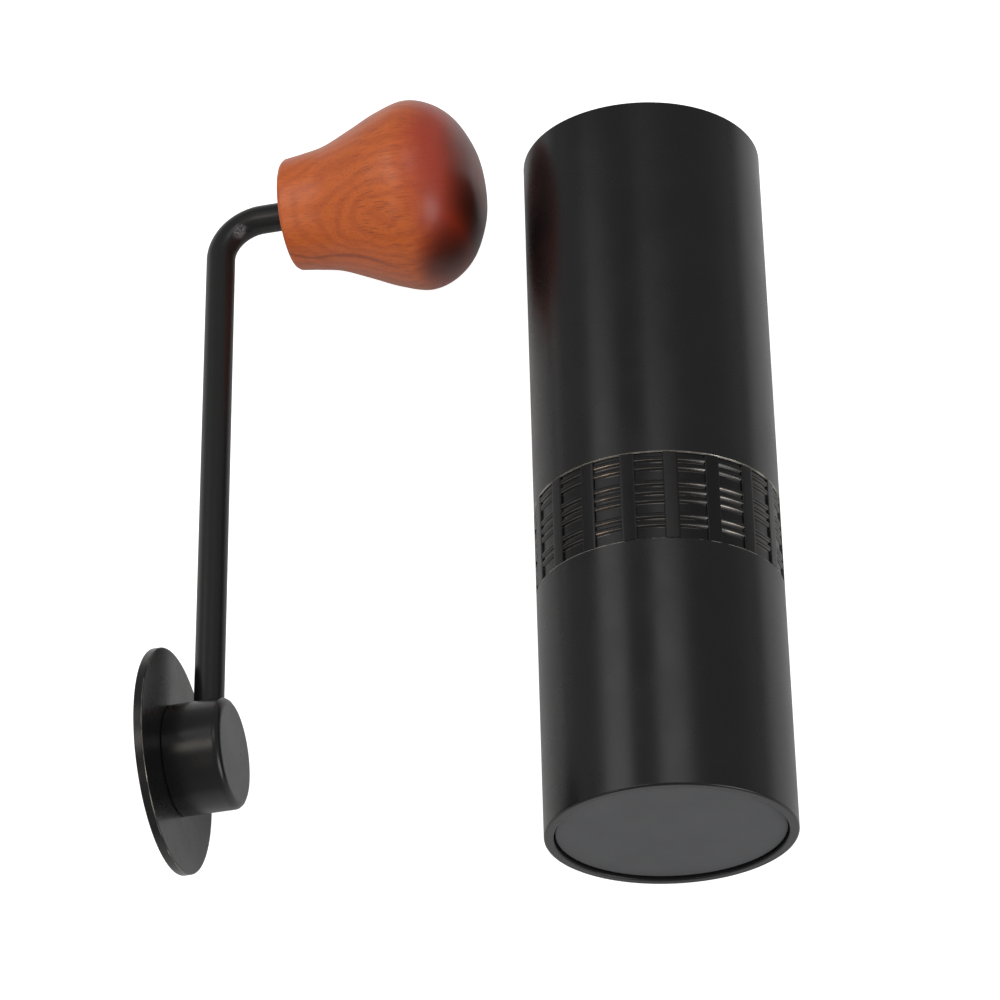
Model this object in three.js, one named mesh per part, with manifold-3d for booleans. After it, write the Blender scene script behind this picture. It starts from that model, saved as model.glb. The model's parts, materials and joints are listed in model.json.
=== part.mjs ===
// Manual coffee grinder: an anodised aluminium barrel that lies on its side, with the
// crank and its lid lifted off and laid on the table beside it.
// Units are millimetres, +Z is up from the table, +Y runs along the barrel from base to mouth.
// Barrel pieces are drawn upright: their z is the distance from the base, and a group lays them down.
// Crank pieces are drawn with z = 0 on the outer face of the lid, z along the hub and y along the arm.

import * as THREE from 'three';
import { mergeVertices } from 'three/addons/utils/BufferGeometryUtils.js';
import Module from 'manifold-3d';

const wasm = await Module();
wasm.setup();

// Driving dimensions of the barrel
const BARREL_R = 29;
const BARREL_LENGTH = 178.8;
const BAND_FOOT = 61.4;
const BAND_HEAD = 83.2;
const MOUTH_BORE = 26.9;
const HOPPER_BORE = 25.9;
const BURR_BORE = 24.2;
const SPIGOT_R = 26.3;
const SPIGOT_FOOT = 50;

// Driving dimensions of the crank
const LID_R = 26.3;
const LID_THICK = 2.15;
const HUB_R = 12.95;
const HUB_TOP = 13.7;
const ROD_R = 3.55;
const ROD_HEIGHT = 7.1;
const ARM_LENGTH = 152.8;
const BEND_R = 10;
const KNOB_FOOT = 25.3;
const KNOB_LENGTH = 48.9;

// Where the crank lies: lid centre on the table, then the turn of the hub axis,
// its rise from the table, and the clocking of the arm about the hub
const CRANK_PLACE = new THREE.Vector3(-112.2, 22.48, 26.04);
const CRANK_YAW = THREE.MathUtils.degToRad(1.12);
const CRANK_RISE = THREE.MathUtils.degToRad(13.8);
const CRANK_CLOCK = THREE.MathUtils.degToRad(-5.97);

// The rod is bent a little past the square, so the knob leans towards the hub by this much
const KNOB_LEAN = THREE.MathUtils.degToRad(0.7);

// Direction in which the shaft's flat tang points, about the barrel's axis
const TANG_ANGLE = THREE.MathUtils.degToRad(-37.5);

// Clearance between neighbours, how far a cutting tool passes a face, and facets round a circle
const FIT = 0.3;
const THROUGH = 1;
const ROUND_SIDES = 36;
const MID_SIDES = 24;
const SMALL_SIDES = 16;
const BOLT_SIDES = 12;
const HOLE_SIDES = 10;

const BLACK_ANODISED = { color: 0x232325, roughness: 0.42, metalness: 0.8 };
const PAD_GREY = { color: 0x4b4e4e, roughness: 0.8, metalness: 0 };
const BURR_STEEL = { color: 0x9a9a98, roughness: 0.35, metalness: 1 };
const BRIGHT_STEEL = { color: 0xb8b8b6, roughness: 0.25, metalness: 1 };
const WHITE_NYLON = { color: 0xd9d6cc, roughness: 0.5, metalness: 0 };
const BLACK_RUBBER = { color: 0x161616, roughness: 0.85, metalness: 0 };
const BLACK_ROD = { color: 0x161617, roughness: 0.35, metalness: 0.3 };
const RED_WOOD = { color: 0x8a3a1c, roughness: 0.35, metalness: 0 };

// Geometry helpers

function weld(geometry) {
  geometry.deleteAttribute('normal');
  geometry.deleteAttribute('uv');
  const merged = mergeVertices(geometry, 1e-4);
  const corners = merged.index.array;
  const kept = [];
  for (let i = 0; i < corners.length; i += 3) {
    const [a, b, c] = [corners[i], corners[i + 1], corners[i + 2]];
    if (a !== b && b !== c && c !== a) kept.push(a, b, c);
  }
  merged.setIndex(kept);
  return merged;
}

function toSolid(geometry) {
  const welded = weld(geometry);
  const vertProperties = new Float32Array(welded.attributes.position.array);
  const triVerts = new Uint32Array(welded.index.array);
  return new wasm.Manifold(new wasm.Mesh({ numProp: 3, vertProperties, triVerts }));
}

function fromSolid(solid) {
  const { vertProperties, triVerts } = solid.getMesh();
  const geometry = new THREE.BufferGeometry();
  geometry.setAttribute('position', new THREE.BufferAttribute(vertProperties, 3));
  geometry.setIndex(new THREE.BufferAttribute(triVerts, 1));
  return geometry;
}

// Turns a profile of [radius, height] points, outer wall upward first, about the z axis
function turned(profile, sides = SMALL_SIDES) {
  const points = profile.map(([radius, height]) => new THREE.Vector2(radius, height));
  if (profile[0][0] > 0) points.push(points[0].clone());
  return weld(new THREE.LatheGeometry(points, sides).rotateX(Math.PI / 2));
}

function ring(outer, inner, foot, head, sides = SMALL_SIDES) {
  return turned([[inner, foot], [outer, foot], [outer, head], [inner, head]], sides);
}

function rod(radius, foot, head, sides = SMALL_SIDES) {
  return turned([[0, foot], [radius, foot], [radius, head], [0, head]], sides);
}

function box(width, depth, foot, head) {
  return weld(new THREE.BoxGeometry(width, depth, head - foot).translate(0, 0, (foot + head) / 2));
}

function cut(base, ...tools) {
  return fromSolid(tools.reduce((solid, tool) => solid.subtract(toSolid(tool)), toSolid(base)));
}

function join(base, ...others) {
  return fromSolid(others.reduce((solid, other) => solid.add(toSolid(other)), toSolid(base)));
}

function around(count, make) {
  return Array.from({ length: count }, (_, index) => make((index * 2 * Math.PI) / count));
}

// An open retaining ring: a flat ring with a slot towards +x
function retainingRing({ outer, inner, foot, thickness, halfGap }) {
  const shape = new THREE.Shape();
  shape.absarc(0, 0, outer, halfGap, 2 * Math.PI - halfGap, false);
  shape.absarc(0, 0, inner, 2 * Math.PI - halfGap, halfGap, true);
  shape.closePath();
  const settings = { depth: thickness, bevelEnabled: false, curveSegments: 8 };
  return weld(new THREE.ExtrudeGeometry(shape, settings).translate(0, 0, foot));
}

// A cone or bore whose wall is cut into slanting saw teeth, between rows of [radius, height];
// the other wall is plain. Rows run upward, and every tooth has a crest and a root vertex.
function toothedRing({ rows, plain, teeth, depth, lead, inside }) {
  const steps = teeth * 2;
  const positions = [];
  const place = (radius, angle, height) => {
    positions.push(radius * Math.cos(angle), radius * Math.sin(angle), height);
  };
  rows.forEach(([radius, height], level) => {
    for (let i = 0; i < steps; i += 1) {
      const crest = i % 2 === 0 ? 0 : depth;
      const turn = (i * 2 * Math.PI) / steps + lead * level;
      place(inside ? radius + crest : radius - crest, turn, height);
    }
  });
  const [bottom, top] = [rows[0][1], rows[rows.length - 1][1]];
  [[plain, top], [plain, bottom]].forEach(([radius, height], level) => {
    const turn = level === 0 ? lead * (rows.length - 1) : 0;
    for (let i = 0; i < steps; i += 1) place(radius, (i * 2 * Math.PI) / steps + turn, height);
  });
  const loops = rows.length + 2;
  const triangles = [];
  for (let loop = 0; loop < loops; loop += 1) {
    const next = (loop + 1) % loops;
    for (let i = 0; i < steps; i += 1) {
      const j = (i + 1) % steps;
      const [a, b] = [loop * steps + i, loop * steps + j];
      const [c, d] = [next * steps + j, next * steps + i];
      if (inside) triangles.push(a, c, b, a, d, c);
      else triangles.push(a, b, c, a, c, d);
    }
  }
  const geometry = new THREE.BufferGeometry();
  geometry.setAttribute('position', new THREE.Float32BufferAttribute(positions, 3));
  geometry.setIndex(triangles);
  return geometry;
}

function piece(name, geometry, finish) {
  const mesh = new THREE.Mesh(geometry, new THREE.MeshStandardMaterial(finish));
  mesh.name = name;
  geometry.computeVertexNormals();
  return mesh;
}

// Barrel shell: mouth, hopper bore, the flange that carries burr and bracket, and the spigot

const FLANGE = { foot: 86.3, head: 94, bore: 17.2 };
const LEDGE = 158;
const BAND_SEAT_R = 27.2;
const BARREL_EDGE = 0.35;
const SEAL_GROOVE = { foot: 54, head: 56.8, floor: 25.1 };
const SCREW_CIRCLE = 21.4;
const SCREW_HOLE = 1.75;
const SNAP = { foot: 164.6, thickness: 1.2, grooveDepth: 0.8, bore: 24.6, halfGap: 0.22 };

const screwPlaces = around(3, (angle) => [SCREW_CIRCLE * Math.cos(angle), SCREW_CIRCLE * Math.sin(angle)]);

function screwHoles({ foot, head }) {
  return screwPlaces.map(([x, y]) => {
    return rod(SCREW_HOLE, foot - THROUGH, head + THROUGH, HOLE_SIDES).translate(x, y, 0);
  });
}

function barrelTube() {
  const snapHead = SNAP.foot + SNAP.thickness + FIT;
  const snapFloor = MOUTH_BORE + SNAP.grooveDepth;
  const shell = turned([
    [BURR_BORE, SPIGOT_FOOT], [SPIGOT_R - BARREL_EDGE, SPIGOT_FOOT], [SPIGOT_R, SPIGOT_FOOT + BARREL_EDGE],
    [SPIGOT_R, SEAL_GROOVE.foot], [SEAL_GROOVE.floor, SEAL_GROOVE.foot],
    [SEAL_GROOVE.floor, SEAL_GROOVE.head], [SPIGOT_R, SEAL_GROOVE.head],
    [SPIGOT_R, BAND_FOOT], [BAND_SEAT_R, BAND_FOOT], [BAND_SEAT_R, BAND_HEAD],
    [BARREL_R - BARREL_EDGE, BAND_HEAD], [BARREL_R, BAND_HEAD + BARREL_EDGE],
    [BARREL_R, BARREL_LENGTH - BARREL_EDGE], [BARREL_R - BARREL_EDGE, BARREL_LENGTH],
    [MOUTH_BORE, BARREL_LENGTH], [MOUTH_BORE, snapHead], [snapFloor, snapHead],
    [snapFloor, SNAP.foot - FIT], [MOUTH_BORE, SNAP.foot - FIT], [MOUTH_BORE, LEDGE],
    [HOPPER_BORE, LEDGE], [HOPPER_BORE, FLANGE.head], [FLANGE.bore, FLANGE.head],
    [FLANGE.bore, FLANGE.foot], [BURR_BORE, FLANGE.foot],
  ], ROUND_SIDES);
  return cut(shell, ...screwHoles(FLANGE));
}

// Grip band: a sleeve with upright bars, and ribs in groups of two, three and two between them

const BAND_PANELS = 18;
const BAR_ARC = THREE.MathUtils.degToRad(6.4);
const PANEL_TURN = THREE.MathUtils.degToRad(6.1);
const BAND_BORE = 27.6;
const BAR_ROOT_R = 27.9;
const PANEL_FLOOR_R = 28.3;
const RIB_CREST_R = 28.8;
const RIB_WIDTH = 0.8;
const RIB_PITCH = 2.2;
const GROUP_GAP = 4;
const FIRST_RIB = 2.2;
const RIB_GROUPS = [2, 3, 2];

function ribHeights() {
  const heights = [];
  let height = BAND_HEAD - FIRST_RIB;
  RIB_GROUPS.forEach((count) => {
    for (let i = 0; i < count; i += 1) {
      heights.push(height);
      height -= i === count - 1 ? GROUP_GAP : RIB_PITCH;
    }
  });
  return heights;
}

function gripBand() {
  const head = BAND_HEAD - FIT;
  const outline = [[BAND_BORE, BAND_FOOT], [PANEL_FLOOR_R, BAND_FOOT]];
  ribHeights().reverse().forEach((height) => {
    outline.push([PANEL_FLOOR_R, height - RIB_WIDTH / 2], [RIB_CREST_R, height]);
    outline.push([PANEL_FLOOR_R, height + RIB_WIDTH / 2]);
  });
  outline.push([PANEL_FLOOR_R, head], [BAND_BORE, head]);
  const ribbed = turned(outline, 2 * BAND_PANELS);
  const firstBar = Math.PI / 2 - PANEL_TURN + Math.PI / BAND_PANELS;
  const bars = around(BAND_PANELS, (angle) => {
    const shape = new THREE.Shape();
    shape.absarc(0, 0, BARREL_R, -BAR_ARC / 2, BAR_ARC / 2, false);
    shape.absarc(0, 0, BAR_ROOT_R, BAR_ARC / 2, -BAR_ARC / 2, true);
    shape.closePath();
    const settings = { depth: head - BAND_FOOT, bevelEnabled: false, curveSegments: 1 };
    const bar = new THREE.ExtrudeGeometry(shape, settings);
    return weld(bar.translate(0, 0, BAND_FOOT).rotateZ(angle + firstBar));
  });
  return join(ribbed, ...bars);
}

// Brackets: a rim, three spokes and a hub that holds a ball bearing

const BEARING = { outer: 8, outerBore: 6.5, innerRim: 5.6, inner: 4.3, wide: 5 };
const BRACKET_HUB = { outer: 10, bore: 6.3 };
const SPOKE = { wide: 5, sink: 0.5, overlap: 1.5 };
const TOP_BRACKET = { foot: LEDGE + FIT, head: SNAP.foot - FIT, rim: MOUTH_BORE - FIT, bore: 23.4 };
const LOW_BRACKET = { foot: FLANGE.head + FIT, head: 101.6, rim: HOPPER_BORE - FIT, bore: 18.6 };
const TOP_BEARING_FOOT = 159.1;
const LOW_BEARING_FOOT = 96.4;

function bracket({ rim, bore, foot, head }, bearingFoot, turn) {
  const reach = (BRACKET_HUB.outer + bore) / 2;
  const length = bore - BRACKET_HUB.outer + 2 * SPOKE.overlap;
  const spokes = around(3, (angle) => {
    const spoke = box(length, SPOKE.wide, foot + SPOKE.sink, head - SPOKE.sink);
    return spoke.translate(reach, 0, 0).rotateZ(angle + turn);
  });
  const outerRim = ring(rim, bore, foot, head, ROUND_SIDES);
  const hub = ring(BRACKET_HUB.outer, BRACKET_HUB.bore, foot, head);
  return cut(join(outerRim, hub, ...spokes), rod(BEARING.outer + FIT, bearingFoot - FIT, head + THROUGH));
}

function topBracket() {
  return bracket(TOP_BRACKET, TOP_BEARING_FOOT, 0);
}

function bracketSnapRing() {
  const outer = MOUTH_BORE + SNAP.grooveDepth - FIT;
  return retainingRing({ ...SNAP, outer, inner: SNAP.bore });
}

function lowBracket() {
  return cut(bracket(LOW_BRACKET, LOW_BEARING_FOOT, Math.PI / 3), ...screwHoles(LOW_BRACKET));
}

function bearingOuter(foot) {
  return ring(BEARING.outer, BEARING.outerBore, foot, foot + BEARING.wide);
}

function bearingInner(foot) {
  return ring(BEARING.innerRim, BEARING.inner, foot, foot + BEARING.wide);
}

// Burrs: the fixed ring and the turning cone

const BURR_TEETH = 20;
const TOOTH_DEPTH = 0.8;
const OUTER_BURR = { foot: 64, flange: 82.2, head: FLANGE.foot - FIT, wall: 18.6, flangeBore: 17.9 };
const INNER_BURR = { foot: 63, head: 87.5, core: 2 };

function outerBurr() {
  const cutter = toothedRing({
    rows: [[16.6, OUTER_BURR.foot], [16, 68], [13.6, 76], [12.2, OUTER_BURR.head]],
    plain: OUTER_BURR.wall,
    teeth: BURR_TEETH,
    depth: TOOTH_DEPTH,
    lead: 0.1,
    inside: true,
  });
  const { flange, flangeBore, head } = OUTER_BURR;
  const rim = ring(BURR_BORE - FIT, flangeBore, flange, head, ROUND_SIDES);
  return cut(join(cutter, rim), ...screwHoles({ foot: flange, head }));
}

const SHAFT_R = 4;
const SHAFT_FLAT = 3;

function flatBore(foot, head) {
  const round = toSolid(rod(SHAFT_R + FIT, foot, head));
  const flats = toSolid(box(2 * (SHAFT_R + THROUGH), 2 * (SHAFT_FLAT + FIT), foot - THROUGH, head + THROUGH));
  return fromSolid(round.intersect(flats));
}

function innerBurr() {
  const cone = toothedRing({
    rows: [[15.4, INNER_BURR.foot], [15, 68], [11.9, 76], [8.2, 83], [6.9, INNER_BURR.head]],
    plain: INNER_BURR.core,
    teeth: BURR_TEETH,
    depth: TOOTH_DEPTH,
    lead: -0.12,
    inside: false,
  });
  return cut(cone, flatBore(INNER_BURR.foot - THROUGH, INNER_BURR.head + THROUGH));
}

const SCREW_HEAD = { radius: 2.4, tall: 2.2, edge: 0.4, socket: 1.3, socketDepth: 1.2 };

function burrScrew() {
  const { radius, tall, edge, socket, socketDepth } = SCREW_HEAD;
  const head = OUTER_BURR.flange - FIT;
  const foot = head - tall;
  const shank = SCREW_HOLE - FIT;
  const tip = LOW_BRACKET.head - 2 * FIT;
  return turned([
    [0, foot + socketDepth], [socket, foot + socketDepth], [socket, foot], [radius - edge, foot],
    [radius, foot + edge], [radius, head], [shank, head], [shank, tip], [0, tip],
  ], BOLT_SIDES);
}

// Drive shaft: flats for the burr, a plain length through both bearings and a flat tang on top

const SHAFT_FOOT = 40.5;
const SHAFT_EDGE = 0.6;
const TANG = { foot: 170, head: 177.8, half: 1.9 };
const CLIP_THICK = 0.8;
const CLIP_GROOVE_R = 3.1;
const CLIP_BORE = CLIP_GROOVE_R + FIT;
const DIAL_CLIP = { foot: 42.2, outer: 6 };
const TOP_CLIP = { foot: 164.4, outer: 5.8 };
const CLIP_HALF_GAP = 0.5;
const WASTE = 4;

function shaftGroove({ foot }) {
  const [low, high] = [foot - FIT, foot + CLIP_THICK + FIT];
  return [[SHAFT_R, low], [CLIP_GROOVE_R, low], [CLIP_GROOVE_R, high], [SHAFT_R, high]];
}

// Waste on both sides of a pair of flats, which stand at plus and minus half
function flatCuts(half, foot, head) {
  return [1, -1].map((way) => box(3 * SHAFT_R, WASTE, foot, head).translate(0, way * (half + WASTE / 2), 0));
}

function driveShaft() {
  const blank = turned([
    [0, SHAFT_FOOT], [SHAFT_R - SHAFT_EDGE, SHAFT_FOOT], [SHAFT_R, SHAFT_FOOT + SHAFT_EDGE],
    ...shaftGroove(DIAL_CLIP), ...shaftGroove(TOP_CLIP),
    [SHAFT_R, TANG.head - SHAFT_EDGE], [SHAFT_R - SHAFT_EDGE, TANG.head], [0, TANG.head],
  ]);
  const tangCuts = flatCuts(TANG.half, TANG.foot, TANG.head + THROUGH);
  tangCuts.forEach((waste) => waste.rotateZ(TANG_ANGLE));
  const burrCuts = flatCuts(SHAFT_FLAT, DIAL.head + FIT, INNER_BURR.head + 2 * THROUGH);
  return cut(blank, ...tangCuts, ...burrCuts);
}

function shaftClip({ foot, outer }) {
  return retainingRing({ outer, inner: CLIP_BORE, foot, thickness: CLIP_THICK, halfGap: CLIP_HALF_GAP });
}

// Burr spring: a short compression coil between the lower bearing and the burr cone,
// drawn at the length it has with the cone screwed all the way in

const BURR_TRAVEL = 0.5;
const SPRING = { wire: 0.5, coil: 4.95, turns: 3.25, steps: 34 };

function burrSpring() {
  const { wire, coil, turns, steps } = SPRING;
  const foot = INNER_BURR.head + BURR_TRAVEL + wire + FIT;
  const rise = LOW_BEARING_FOOT - FIT - wire - foot;
  const path = new THREE.Curve();
  path.getPoint = (t) => {
    const angle = 2 * Math.PI * turns * t;
    return new THREE.Vector3(coil * Math.cos(angle), coil * Math.sin(angle), foot + rise * t);
  };
  const section = new THREE.Shape().absarc(0, 0, wire, 0, 2 * Math.PI, false);
  const settings = { steps, extrudePath: path, bevelEnabled: false, curveSegments: 3 };
  return weld(new THREE.ExtrudeGeometry(section, settings));
}

// Grind dial: a knurled nut under the burr cone, with the click ring and balls that index it

const DIAL = { foot: 45, head: 55, crest: 19, knurl: 0.9, knurls: 30, dish: 14.5, dishDepth: 3 };
const CLICK_CIRCLE = 11.5;
const CLICKS = 10;
const CLICK_PLATE = { outer: 14, thickness: 1.6, dimple: 1.2, rise: 0.7 };

function adjustDial() {
  const { foot, head, crest, knurl, knurls, dish, dishDepth } = DIAL;
  const root = crest - knurl;
  const corners = around(2 * knurls, (angle) => angle).map((angle, index) => {
    const radius = index % 2 === 0 ? crest : root;
    return new THREE.Vector2(radius * Math.cos(angle), radius * Math.sin(angle));
  });
  const settings = { depth: head - foot, bevelEnabled: false };
  const knurled = new THREE.ExtrudeGeometry(new THREE.Shape(corners), settings).translate(0, 0, foot);
  const recess = rod(dish, head - dishDepth, head + THROUGH);
  const bore = rod(SHAFT_R + FIT, foot - THROUGH, head + THROUGH);
  return cut(knurled, recess, bore);
}

function clickRing() {
  const { outer, thickness, dimple, rise } = CLICK_PLATE;
  const foot = DIAL.head - DIAL.dishDepth + FIT;
  const head = foot + thickness;
  const dimples = around(CLICKS, (angle) => {
    const place = [CLICK_CIRCLE * Math.cos(angle), CLICK_CIRCLE * Math.sin(angle), head + rise];
    return new THREE.SphereGeometry(dimple, 6, 4).translate(...place);
  });
  return cut(ring(outer, SHAFT_R + FIT, foot, head, MID_SIDES), ...dimples);
}

// Click carrier: a keyed plate over the dial with a skirt round it and two blind sockets for the balls

const CARRIER = { foot: DIAL.head + 0.6, head: INNER_BURR.foot - 1.2, outer: 13.6, skirt: 8, plateSink: 2 };
const BALL = { radius: 1.15, drop: 0.15, socket: 1.6, socketDepth: 3.2 };

function clickCarrier() {
  const { foot, head, outer, skirt, plateSink } = CARRIER;
  const skirtRing = ring(outer, skirt, foot, head, MID_SIDES);
  const plate = cut(rod(skirt + 2 * FIT, foot + plateSink, head), flatBore(foot - THROUGH, head + THROUGH));
  const sockets = [CLICK_CIRCLE, -CLICK_CIRCLE].map((x) => {
    return rod(BALL.socket, foot - THROUGH, foot + BALL.socketDepth, HOLE_SIDES).translate(x, 0, 0);
  });
  return cut(join(skirtRing, plate), ...sockets);
}

function clickBall(x) {
  return weld(new THREE.IcosahedronGeometry(BALL.radius, 1).translate(x, 0, CARRIER.foot - BALL.drop));
}

// Catch cup: the lower tube, its floor, and the pad set into the base

const CUP = { bore: 26.9, under: 2.5, over: 4.5, corner: 2, edge: 0.35, topEdge: 0.2 };
const CUP_LIP = { bore: 26.7, edge: 0.3 };
const PAD_DEPTH = 1;
const PAD_THICK = 1.2;

function catchCup() {
  const head = BAND_FOOT - FIT;
  return turned([
    [0, CUP.under], [CUP_LIP.bore, CUP.under], [CUP_LIP.bore, CUP_LIP.edge],
    [CUP_LIP.bore + CUP_LIP.edge, 0], [BARREL_R - CUP.edge, 0], [BARREL_R, CUP.edge],
    [BARREL_R, head - CUP.topEdge], [BARREL_R - CUP.topEdge, head], [CUP.bore, head],
    [CUP.bore, CUP.over + CUP.corner], [CUP.bore - CUP.corner, CUP.over], [0, CUP.over],
  ], ROUND_SIDES);
}

function basePad() {
  return rod(CUP_LIP.bore - FIT, PAD_DEPTH, PAD_DEPTH + PAD_THICK, ROUND_SIDES);
}

const CUP_SEAL = { middle: 55.4, thick: 0.6, tall: 0.95, sides: 6 };

function cupSeal() {
  const { middle, thick, tall, sides } = CUP_SEAL;
  const reach = SPIGOT_R - FIT;
  const section = around(sides, (angle) => {
    return [reach + thick * Math.cos(angle), middle + tall * Math.sin(angle)];
  });
  return turned(section, ROUND_SIDES);
}

// Lid: a disc that drops into the mouth, and the flanged bush in which the hub turns

const LID_EDGE = 0.3;
const LID_BORE = 11.5;
const HUB_BOSS_R = 9.6;
const HUB_FOOT = -6;
const LID_CLIP = -4.55;
const BUSH = { outer: 11.2, head: -0.1, flange: 13.4, flangeHead: -LID_THICK - FIT, foot: -3.45 };

function lidDisc() {
  return turned([
    [LID_BORE, -LID_THICK], [LID_R - LID_EDGE, -LID_THICK], [LID_R, -LID_THICK + LID_EDGE],
    [LID_R, -LID_EDGE], [LID_R - LID_EDGE, 0], [LID_BORE, 0],
  ], ROUND_SIDES);
}

function lidBush() {
  const { outer, head, flange, flangeHead, foot } = BUSH;
  return turned([
    [HUB_BOSS_R + FIT, foot], [flange, foot], [flange, flangeHead],
    [outer, flangeHead], [outer, head], [HUB_BOSS_R + FIT, head],
  ], MID_SIDES);
}

// Crank: hub with its boss and slot, bent rod, and the wooden knob that spins on the rod

const HUB_GAP = 0.25;
const HUB_EDGE = 1.2;
const HUB_ROUND = 0.35;
const BOSS_EDGE = 0.3;
const SLOT = { wide: 4.8, long: 13.2, roof: -0.2 };
const ROD_HOLE = { start: 2, reach: 4 };
const LID_CLIP_RING = { groove: 8.6, inner: 9, outer: 11.4, halfGap: 0.35 };

// The slot's turn about the hub, which lines it up with the tang once the lid sits in the mouth
const SLOT_ANGLE = THREE.MathUtils.degToRad(62.1);

function crankHub() {
  const [low, high] = [LID_CLIP - FIT, LID_CLIP + CLIP_THICK + FIT];
  const body = turned([
    [0, HUB_FOOT], [HUB_BOSS_R - BOSS_EDGE, HUB_FOOT], [HUB_BOSS_R, HUB_FOOT + BOSS_EDGE],
    [HUB_BOSS_R, low], [LID_CLIP_RING.groove, low], [LID_CLIP_RING.groove, high], [HUB_BOSS_R, high],
    [HUB_BOSS_R, HUB_GAP], [HUB_R - BOSS_EDGE, HUB_GAP], [HUB_R, HUB_GAP + BOSS_EDGE],
    [HUB_R, HUB_TOP - HUB_EDGE], [HUB_R - HUB_ROUND, HUB_TOP - HUB_ROUND],
    [HUB_R - HUB_EDGE, HUB_TOP], [0, HUB_TOP],
  ], MID_SIDES);
  const slot = box(SLOT.long, SLOT.wide, HUB_FOOT - THROUGH, SLOT.roof).rotateZ(SLOT_ANGLE);
  const rodHole = rod(ROD_R + FIT, ROD_HOLE.start, HUB_R + ROD_HOLE.reach);
  return cut(body, slot, rodHole.rotateX(-Math.PI / 2).translate(0, 0, ROD_HEIGHT));
}

function lidClip() {
  return retainingRing({ ...LID_CLIP_RING, foot: LID_CLIP, thickness: CLIP_THICK });
}

const ARM_START = ROD_HOLE.start + 0.4;
const ARM_STEPS = 9;
const SPINDLE_HEAD = KNOB_FOOT + 39;
const KNOB_CLIP = { foot: KNOB_FOOT + 36.2, groove: 2.6, inner: 2.9, outer: 4.9, halfGap: 0.4 };

// The knob's own axis leans, and meets the middle of the arm at ARM_LENGTH; this is its foot at z = 0
const KNOB_START = ARM_LENGTH + ROD_HEIGHT * Math.tan(KNOB_LEAN);

function crankArm() {
  const fullTurn = Math.PI / 2 + KNOB_LEAN;
  const bendStart = ARM_LENGTH - BEND_R * Math.tan(fullTurn / 2);
  const start = new THREE.Vector3(0, ARM_START, ROD_HEIGHT);
  const end = new THREE.Vector3(
    0,
    KNOB_START - SPINDLE_HEAD * Math.sin(KNOB_LEAN),
    SPINDLE_HEAD * Math.cos(KNOB_LEAN),
  );
  const bend = (turn) => {
    const [y, z] = [bendStart + BEND_R * Math.sin(turn), ROD_HEIGHT + BEND_R * (1 - Math.cos(turn))];
    return new THREE.Vector3(0, y, z);
  };
  const straight = 0.1;
  const path = new THREE.Curve();
  path.getPoint = (t) => {
    if (t <= straight) return start.clone().lerp(bend(0), t / straight);
    if (t >= 1 - straight) return bend(fullTurn).lerp(end, (t - 1 + straight) / straight);
    return bend(((t - straight) / (1 - 2 * straight)) * fullTurn);
  };
  path.getPointAt = (t) => path.getPoint(t);
  path.getTangentAt = (t) => path.getTangent(t);
  const section = new THREE.Shape().absarc(0, 0, ROD_R, 0, 2 * Math.PI, false);
  const settings = { steps: ARM_STEPS, extrudePath: path, bevelEnabled: false, curveSegments: 8 };
  const bar = weld(new THREE.ExtrudeGeometry(section, settings));
  const { foot, groove } = KNOB_CLIP;
  const waste = ring(ROD_R + THROUGH, groove, foot - FIT, foot + CLIP_THICK + FIT, BOLT_SIDES);
  return cut(bar, waste.rotateX(KNOB_LEAN).translate(0, KNOB_START, 0));
}

const SLEEVE = { outer: 5.3, lead: 0.4, sides: 20 };
const KNOB_BORE_DEPTH = 41;
const KNOB_NECK = [[13.3, 0], [13.9, 0.4]];

// Turned outline of the knob from neck to end: radius, and distance from the end of the neck
const KNOB_OUTLINE = [
  [14.1, 1.2], [14.5, 5], [15.7, 11.1], [18.7, 18.2], [21.8, 25.3], [23.6, 32.4],
  [22, 38.5], [17.6, 43.6], [10.9, 47.2], [0, KNOB_LENGTH],
];
const KNOB_STEPS = 14;

function knobBody() {
  const bore = SLEEVE.outer + FIT;
  const points = KNOB_OUTLINE.map(([radius, along]) => new THREE.Vector2(radius, along));
  const curve = new THREE.SplineCurve(points);
  const wall = curve.getPoints(KNOB_STEPS).map(({ x, y }) => [Math.max(x, 0), y]);
  const outer = [...KNOB_NECK, ...wall].map(([radius, along]) => [radius, KNOB_FOOT + along]);
  const depth = KNOB_FOOT + KNOB_BORE_DEPTH;
  return turned([[0, depth], [bore, depth], [bore, KNOB_FOOT], ...outer], MID_SIDES);
}

function knobSleeve() {
  return ring(SLEEVE.outer, ROD_R + FIT, KNOB_FOOT + SLEEVE.lead, KNOB_CLIP.foot - 2 * FIT, SLEEVE.sides);
}

function knobClip() {
  return retainingRing({ ...KNOB_CLIP, thickness: CLIP_THICK });
}

// Assembly

const barrel = new THREE.Group();
barrel.rotation.x = -Math.PI / 2;
barrel.position.z = BARREL_R;

barrel.add(
  piece('barrel_tube', barrelTube(), BLACK_ANODISED),
  piece('grip_band', gripBand(), BLACK_ANODISED),
  piece('top_bracket', topBracket(), BRIGHT_STEEL),
  piece('bracket_snap_ring', bracketSnapRing(), BRIGHT_STEEL),
  piece('top_bearing_outer', bearingOuter(TOP_BEARING_FOOT), BRIGHT_STEEL),
  piece('low_bracket', lowBracket(), BRIGHT_STEEL),
  piece('low_bearing_outer', bearingOuter(LOW_BEARING_FOOT), BRIGHT_STEEL),
  piece('outer_burr', outerBurr(), BURR_STEEL),
  piece('cup_seal', cupSeal(), BLACK_RUBBER),
);
screwPlaces.forEach(([x, y], index) => {
  const screw = piece(`burr_screw_${index + 1}`, burrScrew(), BRIGHT_STEEL);
  screw.position.set(x, y, 0);
  barrel.add(screw);
});

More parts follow.
